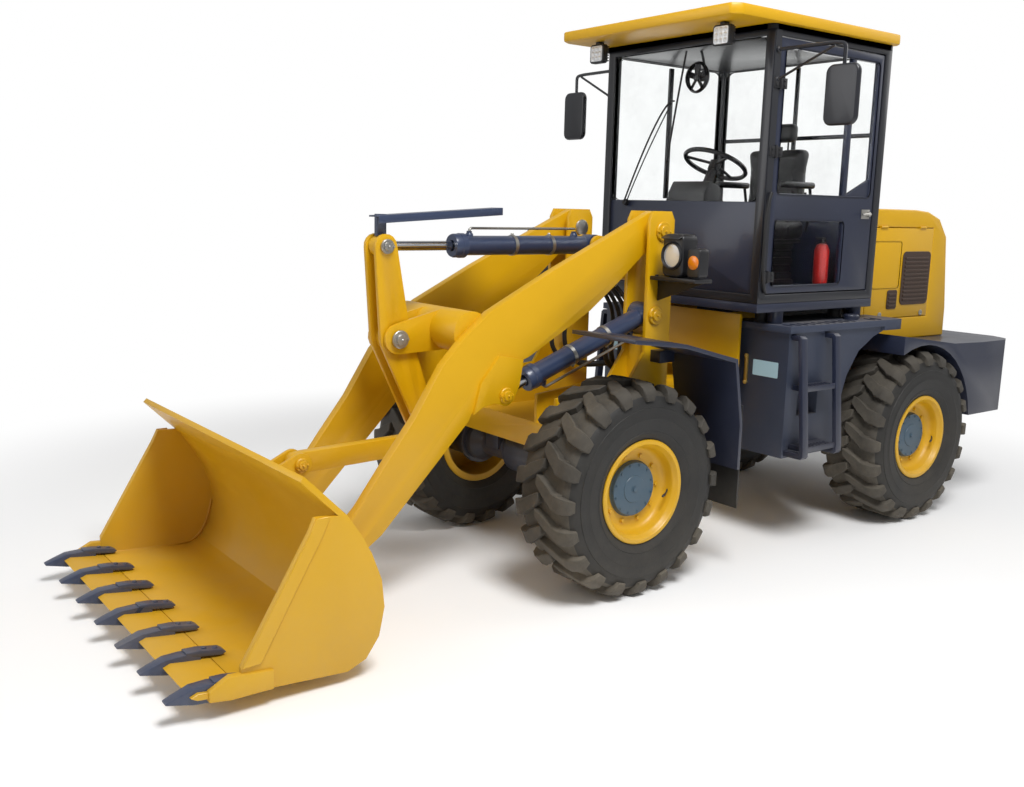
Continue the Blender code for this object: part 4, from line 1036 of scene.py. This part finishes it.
# ---------------------------------------------------------------- cylinders
def cylinder_finish(label, x, base, eye, barrel_r, rod_r, barrel_len, eye_half, port_up, neck):
    """Rounded barrel with its gland, ports, tube and clamps; a bright rod with a painted eye."""
    run = Vector((0, eye[0] - base[0], eye[1] - base[1]))
    length = run.length
    run.normalize()
    normal = Vector((0, -run.z, run.y))
    if normal.z < 0:
        normal = -normal
    normal *= port_up
    start = Vector((x, base[0], base[1]))
    softened(f"{label}_barrel", 0.003)
    body = BODY_OF[f"{label}_barrel"]
    ends = start + run * (barrel_len - 0.068)
    bm = lathe([(barrel_r + 0.0082, 0), (barrel_r + 0.013, 0.002), (barrel_r + 0.013, 0.030),
                (barrel_r + 0.0105, 0.033), (barrel_r + 0.0105, 0.060),
                (barrel_r + 0.006, 0.0705), (rod_r + 0.005, 0.0705), (rod_r + 0.005, 0.066)],
               ends, run, 40)
    for distance in (0.125, barrel_len - 0.105):
        at = start + run * distance + normal * (barrel_r - 0.004)
        merge(bm, lathe([(0, 0), (0.021, 0), (0.020, 0.012), (0.016, 0.018), (0, 0.018)], at,
                        normal, 24))
        merge(bm, lathe([(0, 0.017), (0.014, 0.017), (0.014, 0.028), (0, 0.028)], at, normal, 6))
    finish_piece(bm, f"{label}_fittings", body, STEEL_BLUE)
    first = start + run * 0.125 + normal * (barrel_r + 0.020)
    last = start + run * (barrel_len - 0.105) + normal * (barrel_r + 0.020)
    rise = normal * 0.018
    bm = tube([last, last + rise, last + rise - run * 0.03, first + rise + run * 0.05,
               first + rise + run * 0.02, first + rise - run * 0.005], 0.0075, 10)
    finish_piece(bm, f"{label}_line", body, ZINC)
    bm = bmesh.new()
    for distance in (0.30, 0.55):
        at = start + run * distance
        ring_at = at - run * 0.010
        merge(bm, lathe([(barrel_r + 0.0004, 0), (barrel_r + 0.004, 0), (barrel_r + 0.004, 0.020),
                         (barrel_r + 0.0004, 0.020)], ring_at, run, 32))
        merge(bm, bolt(at + normal * (barrel_r + 0.003), normal, 0.008, 0.012))
    finish_piece(bm, f"{label}_clamps", body, ZINC)
    rod_node = label.replace("_cylinder", "_rod")
    softened(rod_node, 0.002)
    rod_body = BODY_OF[rod_node]
    eye_r = rod_r + 0.0255
    middle = start + run * length
    bm = lathe([(0.0, -eye_half - 0.0004), (eye_r - 0.004, -eye_half - 0.0004),
                (eye_r, -eye_half + 0.003), (eye_r, eye_half - 0.003),
                (eye_r - 0.004, eye_half + 0.0004), (0.0, eye_half + 0.0004)], middle, X_AXIS, 36)
    if neck:
        merge(bm, lathe([(0, 0), (rod_r + 0.016, 0), (rod_r + 0.013, 0.015 - neck),
                         (rod_r + 0.002, -neck), (0, -neck)], middle - run * (eye_r - 0.012), run,
                        28))
    finish_piece(bm, f"{rod_node}_eye", rod_body, YELLOW)
    return first + rise, last + rise


LIFT_PORTS = {}
for label, side in SIDES:
    LIFT_PORTS[label] = cylinder_finish(f"lift_cylinder_{label}", 0.335 * side, (0.47, 1.35),
                                        (-0.49, 0.99), 0.052, 0.026, 0.865, 0.020, -1,
                                        0.055)
TILT_PORTS = cylinder_finish("tilt_cylinder", 0.0, (0.36, 1.71), (-0.985, 1.707), 0.050, 0.024,
                             0.93, 0.030, 1, 0.0)

# Hoses that feed the cylinders from the front frame and sag between the two
FRONT = BODY_OF["front_chassis"]
REAR = BODY_OF["rear_chassis"]
bm = bmesh.new()
couplings = bmesh.new()
for _, side in SIDES:
    for k, (y, z) in enumerate(((0.30, 1.215), (0.37, 1.235))):
        x = (0.235 - 0.032 * k) * side
        merge(bm, tube([(x, y, z), (x, y - 0.02, z - 0.09), (x * 0.92, y + 0.06, 1.03 - 0.03 * k),
                        (x * 0.80, 0.62, 0.99), (x * 0.60, 0.72, 1.005)], 0.0135, 12))
        merge(couplings, lathe([(0, 0), (0.017, 0), (0.017, 0.022), (0.012, 0.026),
                                (0.012, 0.045), (0, 0.045)], (x, y, z - 0.01), Z_AXIS, 6))
for k, x in enumerate((-0.075, -0.025, 0.03, 0.08)):
    merge(bm, tube([(x, 0.47, 1.50), (x, 0.60, 1.40), (x * 1.3, 0.66, 1.20), (x * 1.5, 0.64, 1.02),
                    (x * 1.5, 0.69, 0.965)], 0.0125, 12))
    merge(couplings, lathe([(0, 0), (0.017, 0), (0.017, 0.024), (0, 0.024)], (x, 0.49, 1.49),
                           Vector((0, -0.8, 0.6)).normalized(), 6))
finish_piece(bm, "front_hoses", FRONT, HOSE)
finish_piece(couplings, "hose_couplings", FRONT, ZINC)

# ---------------------------------------------------------------- headlights
for label, side in SIDES:
    x0, x1 = sorted((0.498 * side, 0.647 * side))
    centre = (x0 + x1) / 2
    bm = plate(rounded_rect(x0, x1, 1.568, 1.792, 0.035, 6), 0.112, front_place(0.428), 0.012, 3)
    merge(bm, lathe([(0.066, 0), (0.0735, 0.002), (0.0735, 0.012), (0.066, 0.018), (0.060, 0.012),
                     (0.060, 0.002)], (centre, 0.430, 1.680), -Y_AXIS, 40))
    x2, x3 = sorted((0.676 * side, 0.764 * side))
    merge(bm, plate(rounded_rect(x2, x3, 1.572, 1.722, 0.02, 5), 0.070, front_place(0.432),
                    0.008, 3))
    merge(bm, plate([(0.438, 1.788), (0.405, 1.770), (0.404, 1.765), (0.438, 1.782)],
                    x1 - x0 - 0.02, side_place(x0 + 0.01), 0.001, 1))
    shelf = sorted((0.4270 * side, 0.755 * side))
    merge(bm, block(*shelf, 0.415, 0.545, 1.545, 1.566, 0.005))
    merge(bm, plate([(shelf[0], 1.545), (shelf[1], 1.545), (shelf[0], 1.430)] if side < 0 else
                    [(shelf[1], 1.545), (shelf[0], 1.545), (shelf[0], 1.430)], 0.008,
                    front_place(0.476), 0.002, 1))
    merge(bm, bolts([(0.46 * side, y, 1.566) for y in (0.435, 0.525)], Z_AXIS, 0.009, 0.008))
    made = finish_piece(bm, f"headlight_{label}_finish", FRONT, BLACK)
    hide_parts(f"headlight_{label}")
    bm = lathe([(0.0, 0.004), (0.030, 0.0035), (0.060, -0.001), (0.060, -0.004), (0.0, -0.004)],
               (centre, 0.4265, 1.680), -Y_AXIS, 40)
    finish_piece(bm, f"headlight_{label}_lens", FRONT, LAMP)
    bm = lathe([(0.0, 0.006), (0.028, 0.005), (0.036, 0.0), (0.036, -0.006), (0, -0.006)],
               ((x2 + x3) / 2, 0.4300, 1.650), -Y_AXIS, 32)
    finish_piece(bm, f"indicator_{label}", FRONT, AMBER)

# ---------------------------------------------------------------- hood
HOOD_X = 0.50
softened("engine_hood", 0.014, 3)
for label, side in SIDES:
    softened(f"hood_door_{label}", 0.003)
    body = BODY_OF[f"hood_door_{label}"]
    out = HOOD_X + 0.0002
    edge_at = out if side > 0 else -out - 0.006
    bm = plate(rounded_rect(2.640, 2.962, 1.335, 1.685, 0.035, 5), 0.006, side_place(edge_at),
               0.002, 1)
    merge(bm, plate(rounded_rect(2.495, 2.605, 1.312, 1.436, 0.016, 4), 0.006,
                    side_place(edge_at), 0.002, 1))
    front_face = out + 0.005 if side > 0 else -out - 0.011
    for u0, u1, v0, v1, count in ((2.665, 2.937, 1.362, 1.660, 11), (2.508, 2.592, 1.326, 1.424, 4)):
        merge(bm, louvres(u0, u1, v0, v1, count, 0.006, side_place(front_face)))
    finish_piece(bm, f"hood_vent_{label}", body, SMOKED)
    bm = ring(rounded_rect(2.318, 2.616, 1.449, 1.751, 0.020), 0.006, 0.004,
              side_place(out if side > 0 else -out - 0.004), 0.001)
    finish_piece(bm, f"hood_plate_frame_{label}", body, POST_BLACK)
    bm = bmesh.new()
    for y, z in ((2.43, 1.275), (2.90, 1.275)):
        at = (out * side, y, z)
        merge(bm, lathe([(0, 0), (0.020, 0), (0.020, 0.004), (0.014, 0.007), (0.006, 0.007),
                         (0.006, 0.004), (0, 0.004)], at, X_AXIS * side, 24))
    finish_piece(bm, f"hood_latches_{label}", body, ZINC)
    bm = bmesh.new()
    for y in (2.40, 2.84):
        merge(bm, lathe([(0, -0.035), (0.007, -0.035), (0.007, 0.035), (0, 0.035)],
                        ((out + 0.004) * side, y, 1.842), Y_AXIS, 12))
    finish_piece(bm, f"hood_hinges_{label}", REAR, YELLOW)
bm = lathe([(0.026, 0), (0.030, 0.0), (0.030, 0.10), (0.034, 0.105), (0.034, 0.20),
            (0.030, 0.235), (0.024, 0.235), (0.024, 0.0)], (0.26, 2.62, 1.953), Z_AXIS, 28)
finish_piece(bm, "exhaust_stub", REAR, BLACK)
bm = lathe([(0, 0), (0.055, 0), (0.060, 0.010), (0.060, 0.075), (0.052, 0.090), (0, 0.094)],
           (-0.22, 2.50, 1.953), Z_AXIS, 32)
merge(bm, lathe([(0, 0.090), (0.020, 0.090), (0.020, 0.104), (0, 0.106)], (-0.22, 2.50, 1.953),
                Z_AXIS, 16))
finish_piece(bm, "air_intake", REAR, BLACK)
grille = bmesh.new()
for k in range(12):
    z = 1.24 + 0.042 * k
    y = 3.208 - max(0.0, z - 1.30) * 0.1375
    merge(grille, block(-0.40, 0.40, y - 0.004, y + 0.010, z, z + 0.020, 0.002, 1))
merge(grille, block(-0.415, -0.398, 3.150, 3.216, 1.215, 1.77, 0.003, 1))
merge(grille, block(0.398, 0.415, 3.150, 3.216, 1.215, 1.77, 0.003, 1))
finish_piece(grille, "rear_grille", REAR, SMOKED)

# ---------------------------------------------------------------- counterweight and tail
bm = bmesh.new()
amber = bmesh.new()
for _, side in SIDES:
    x0, x1 = sorted((0.42 * side, 0.62 * side))
    merge(bm, plate(rounded_rect(x0, x1, 0.86, 0.95, 0.015), 0.020, front_place(3.508), 0.004))
    merge(amber, plate(rounded_rect(x0 + 0.010, x1 - 0.010, 0.868, 0.942, 0.010), 0.006,
                       front_place(3.5265), 0.002, 1))
merge(bm, block(-0.05, 0.05, 3.518, 3.532, 0.72, 0.80, 0.006))
finish_piece(bm, "tail_lamp_housings", REAR, BLACK)
finish_piece(amber, "tail_lamps", REAR, RED)

# ---------------------------------------------------------------- tanks, deck and ladder
bm = bmesh.new()
labels = bmesh.new()
for _, side in SIDES:
    x0, x1 = sorted((0.515 * side, 0.695 * side))
    merge(labels, plate(rounded_rect(x0, x1, 0.985, 1.075, 0.006), 0.002, front_place(1.1978)))
    x0, x1 = sorted((0.455 * side, 0.480 * side))
    merge(bm, plate(rounded_rect(x0, x1, 0.925, 1.100, 0.008), 0.010, front_place(1.1905), 0.002))
    for z in (0.935, 1.09):
        merge(bm, bolt(((x0 + x1) / 2, 1.1905, z), -Y_AXIS, 0.009, 0.008))
finish_piece(bm, "level_gauges", REAR, BRASS)
finish_piece(labels, "blank_labels", REAR, LABEL)
bm = bmesh.new()
for _, side in SIDES:
    for z in (1.13, 0.83):
        x0, x1 = sorted((0.345 * side, 0.395 * side))
        merge(bm, block(x0, x1, 1.1665, 1.1995, z - 0.03, z + 0.03, 0.003))
        merge(bm, bolts([((x0 + x1) / 2, 1.1665, z)], -Y_AXIS, 0.010, 0.009))
    merge(bm, lathe([(0, 0), (0.046, 0), (0.046, 0.022), (0.040, 0.030), (0, 0.030)],
                    (0.66 * side, 1.90, 1.2902), Z_AXIS, 32))
finish_piece(bm, "tank_brackets", REAR, NAVY)
bm = bmesh.new()
for _, side in SIDES:
    for y in (1.27, 1.95):
        merge(bm, lathe([(0, 0), (0.050, 0), (0.043, 0.020), (0.043, 0.045), (0.050, 0.066),
                         (0, 0.066)], (0.50 * side, y, 1.2902), Z_AXIS, 28))
        merge(bm, lathe([(0, 0.066), (0.030, 0.066), (0.030, 0.074), (0, 0.074)],
                        (0.50 * side, y, 1.2902), Z_AXIS, 24))
finish_piece(bm, "cab_mounts", REAR, SEAL)
# Raised grip strips on the deck beside the door and on the rungs
bm = bmesh.new()
for _, side in SIDES:
    for k in range(14):
        y = 1.22 + 0.064 * k
        if abs(y - 1.90) > 0.06:
            merge(bm, block(*sorted((0.685 * side, 0.765 * side)), y, y + 0.010, 1.2895, 1.2945,
                            0.002, 1))
    for z in (0.955, 0.61):
        for k in range(8):
            y = 1.285 + 0.028 * k
            outer = 0.850 if z > 0.9 else 0.874
            merge(bm, block(*sorted(((outer - 0.050) * side, outer * side)), y, y + 0.008,
                            z - 0.0005, z + 0.005, 0.0015, 1))
finish_piece(bm, "grip_strips", REAR, NAVY)

# ---------------------------------------------------------------- fenders and chassis trim
bm = bmesh.new()
for _, side in SIDES:
    x0 = 0.48 if side > 0 else -0.92
    merge(bm, plate([(0.650, 0.60), (0.650, 0.92), (0.656, 0.92), (0.662, 0.42), (0.655, 0.36),
                     (0.648, 0.42)], 0.44, side_place(x0), 0.002, 1))
finish_piece(bm, "fender_flaps", FRONT, SEAL)
bm = bmesh.new()
for _, side in SIDES:
    for y, z in ((0.648, 0.66), (0.648, 0.80)):
        for x in (0.52, 0.70, 0.88):
            merge(bm, bolt((x * side, y + 0.008, z), Y_AXIS, 0.009, 0.008))
finish_piece(bm, "fender_bolts", FRONT, ZINC)
bm = bmesh.new()
for axle_y, node in ((0.0, "front_axle"), (2.42, "rear_axle")):
    body = BODY_OF[node]
    bm = bmesh.new()
    direction = -Y_AXIS if axle_y else Y_AXIS
    merge(bm, lathe([(0, 0), (0.125, 0), (0.130, 0.01), (0.130, 0.035), (0.110, 0.05),
                     (0.085, 0.13), (0.060, 0.15), (0.060, 0.19), (0, 0.19)],
                    (0, axle_y, 0.54), direction, 40))
    merge(bm, lathe([(0, 0), (0.128, 0), (0.120, 0.035), (0.080, 0.075), (0.03, 0.09), (0, 0.09)],
                    (0, axle_y, 0.54), -direction, 40))
    for k in range(12):
        a = 2 * math.pi * k / 12
        merge(bm, bolt((0.118 * math.cos(a), axle_y + direction.y * 0.036,
                        0.54 + 0.118 * math.sin(a)), direction, 0.009, 0.009))
    for _, side in SIDES:
        merge(bm, lathe([(0.118, 0), (0.140, 0), (0.145, 0.008), (0.145, 0.026), (0.140, 0.034),
                         (0.118, 0.034)], (0.50 * side, axle_y, 0.54), X_AXIS * side, 40))
    finish_piece(bm, f"{node}_casing", body, NAVY)
    softened(node, 0.005)

# ---------------------------------------------------------------- camera, light and floor
CAMERA_AT = Vector((4.406, -4.0705, 1.911))
AZIMUTH, DOWN, ROLL = (math.radians(a) for a in (52.843, 10.272, 1.466))
ahead = Vector((-math.sin(AZIMUTH) * math.cos(DOWN), math.cos(AZIMUTH) * math.cos(DOWN),
                -math.sin(DOWN)))
level = ahead.cross(Z_AXIS).normalized()
upright = level.cross(ahead)
right = math.cos(ROLL) * level + math.sin(ROLL) * upright
top = -math.sin(ROLL) * level + math.cos(ROLL) * upright
lens = bpy.data.cameras.new("camera")
lens.sensor_width = 36.0
lens.lens = 36.28
camera = bpy.data.objects.new("camera", lens)
camera.matrix_world = Matrix((
    (right.x, top.x, -ahead.x, CAMERA_AT.x), (right.y, top.y, -ahead.y, CAMERA_AT.y),
    (right.z, top.z, -ahead.z, CAMERA_AT.z), (0, 0, 0, 1)))
bpy.context.scene.collection.objects.link(camera)
bpy.context.scene.camera = camera

WORLD_LIGHT = 0.30      # what the surroundings give the surfaces
world = bpy.data.worlds.new("studio")
bpy.context.scene.world = world
world.use_nodes = True
tree = world.node_tree
backdrop = tree.nodes["Background"]
backdrop.inputs["Color"].default_value = (1, 1, 1, 1)
rays = tree.nodes.new("ShaderNodeLightPath")
seen = maths(tree, "MAXIMUM", rays.outputs["Is Camera Ray"],
             rays.outputs["Is Transmission Ray"])
seen = maths(tree, "MAXIMUM", seen, maths(tree, "MULTIPLY", rays.outputs["Is Glossy Ray"], 0.25))
tree.links.new(maths(tree, "MULTIPLY_ADD", seen, 1.0 - WORLD_LIGHT, WORLD_LIGHT),
               backdrop.inputs["Strength"])


def soft_lamp(name, at, aim, size, power):
    data = bpy.data.lights.new(name, "AREA")
    data.shape = "RECTANGLE"
    data.size = size
    data.size_y = size
    data.energy = power
    lamp = bpy.data.objects.new(name, data)
    lamp.location = at
    lamp.rotation_euler = (Vector(aim) - Vector(at)).to_track_quat("-Z", "Y").to_euler()
    bpy.context.scene.collection.objects.link(lamp)


soft_lamp("key", (4.5, -2.0, 8.0), (0, 0, 1), 3.0, 640)
soft_lamp("front_fill", (-3.5, -8.0, 4.5), (0, 0, 1), 5.0, 150)
soft_lamp("back", (1.0, 8.0, 6.0), (0, 0, 1), 6.0, 150)

FLOOR_SIZE = 60.0
bm = bmesh.new()
bmesh.ops.create_grid(bm, x_segments=1, y_segments=1, size=FLOOR_SIZE)
bmesh.ops.translate(bm, verts=bm.verts, vec=(0, 0, -0.001))
floor_mesh = bpy.data.meshes.new("floor")
bm.to_mesh(floor_mesh)
bm.free()
floor = bpy.data.objects.new("floor", floor_mesh)
bpy.context.scene.collection.objects.link(floor)
floor_look = bpy.data.materials.new("pale_floor")
floor_look.use_nodes = True
tree = floor_look.node_tree
shader = tree.nodes["Principled BSDF"]
shader.inputs["Base Color"].default_value = (0.98, 0.98, 0.98, 1)
shader.inputs["Roughness"].default_value = 0.95
shader.inputs["Specular IOR Level"].default_value = 0.1
# The floor turns plain white towards the horizon, where no shadow falls
away = tree.nodes.new("ShaderNodeNewGeometry")
measure = tree.nodes.new("ShaderNodeVectorMath")
measure.operation = "LENGTH"
tree.links.new(away.outputs["Position"], measure.inputs[0])
reach = tree.nodes.new("ShaderNodeMapRange")
reach.interpolation_type = "SMOOTHSTEP"
reach.inputs["From Min"].default_value = 3.2
reach.inputs["From Max"].default_value = 5.4
tree.links.new(measure.outputs["Value"], reach.inputs["Value"])
rays = tree.nodes.new("ShaderNodeLightPath")
white = tree.nodes.new("ShaderNodeEmission")
white.inputs["Strength"].default_value = 1.0
blend_in = tree.nodes.new("ShaderNodeMixShader")
seen = maths(tree, "MAXIMUM", rays.outputs["Is Camera Ray"], rays.outputs["Is Transmission Ray"])
tree.links.new(maths(tree, "MULTIPLY", reach.outputs["Result"], seen), blend_in.inputs["Fac"])
tree.links.new(shader.outputs["BSDF"], blend_in.inputs[1])
tree.links.new(white.outputs["Emission"], blend_in.inputs[2])
tree.links.new(blend_in.outputs["Shader"], tree.nodes["Material Output"].inputs["Surface"])
floor_mesh.materials.append(floor_look)
bpy.context.scene.view_settings.view_transform = "Standard"
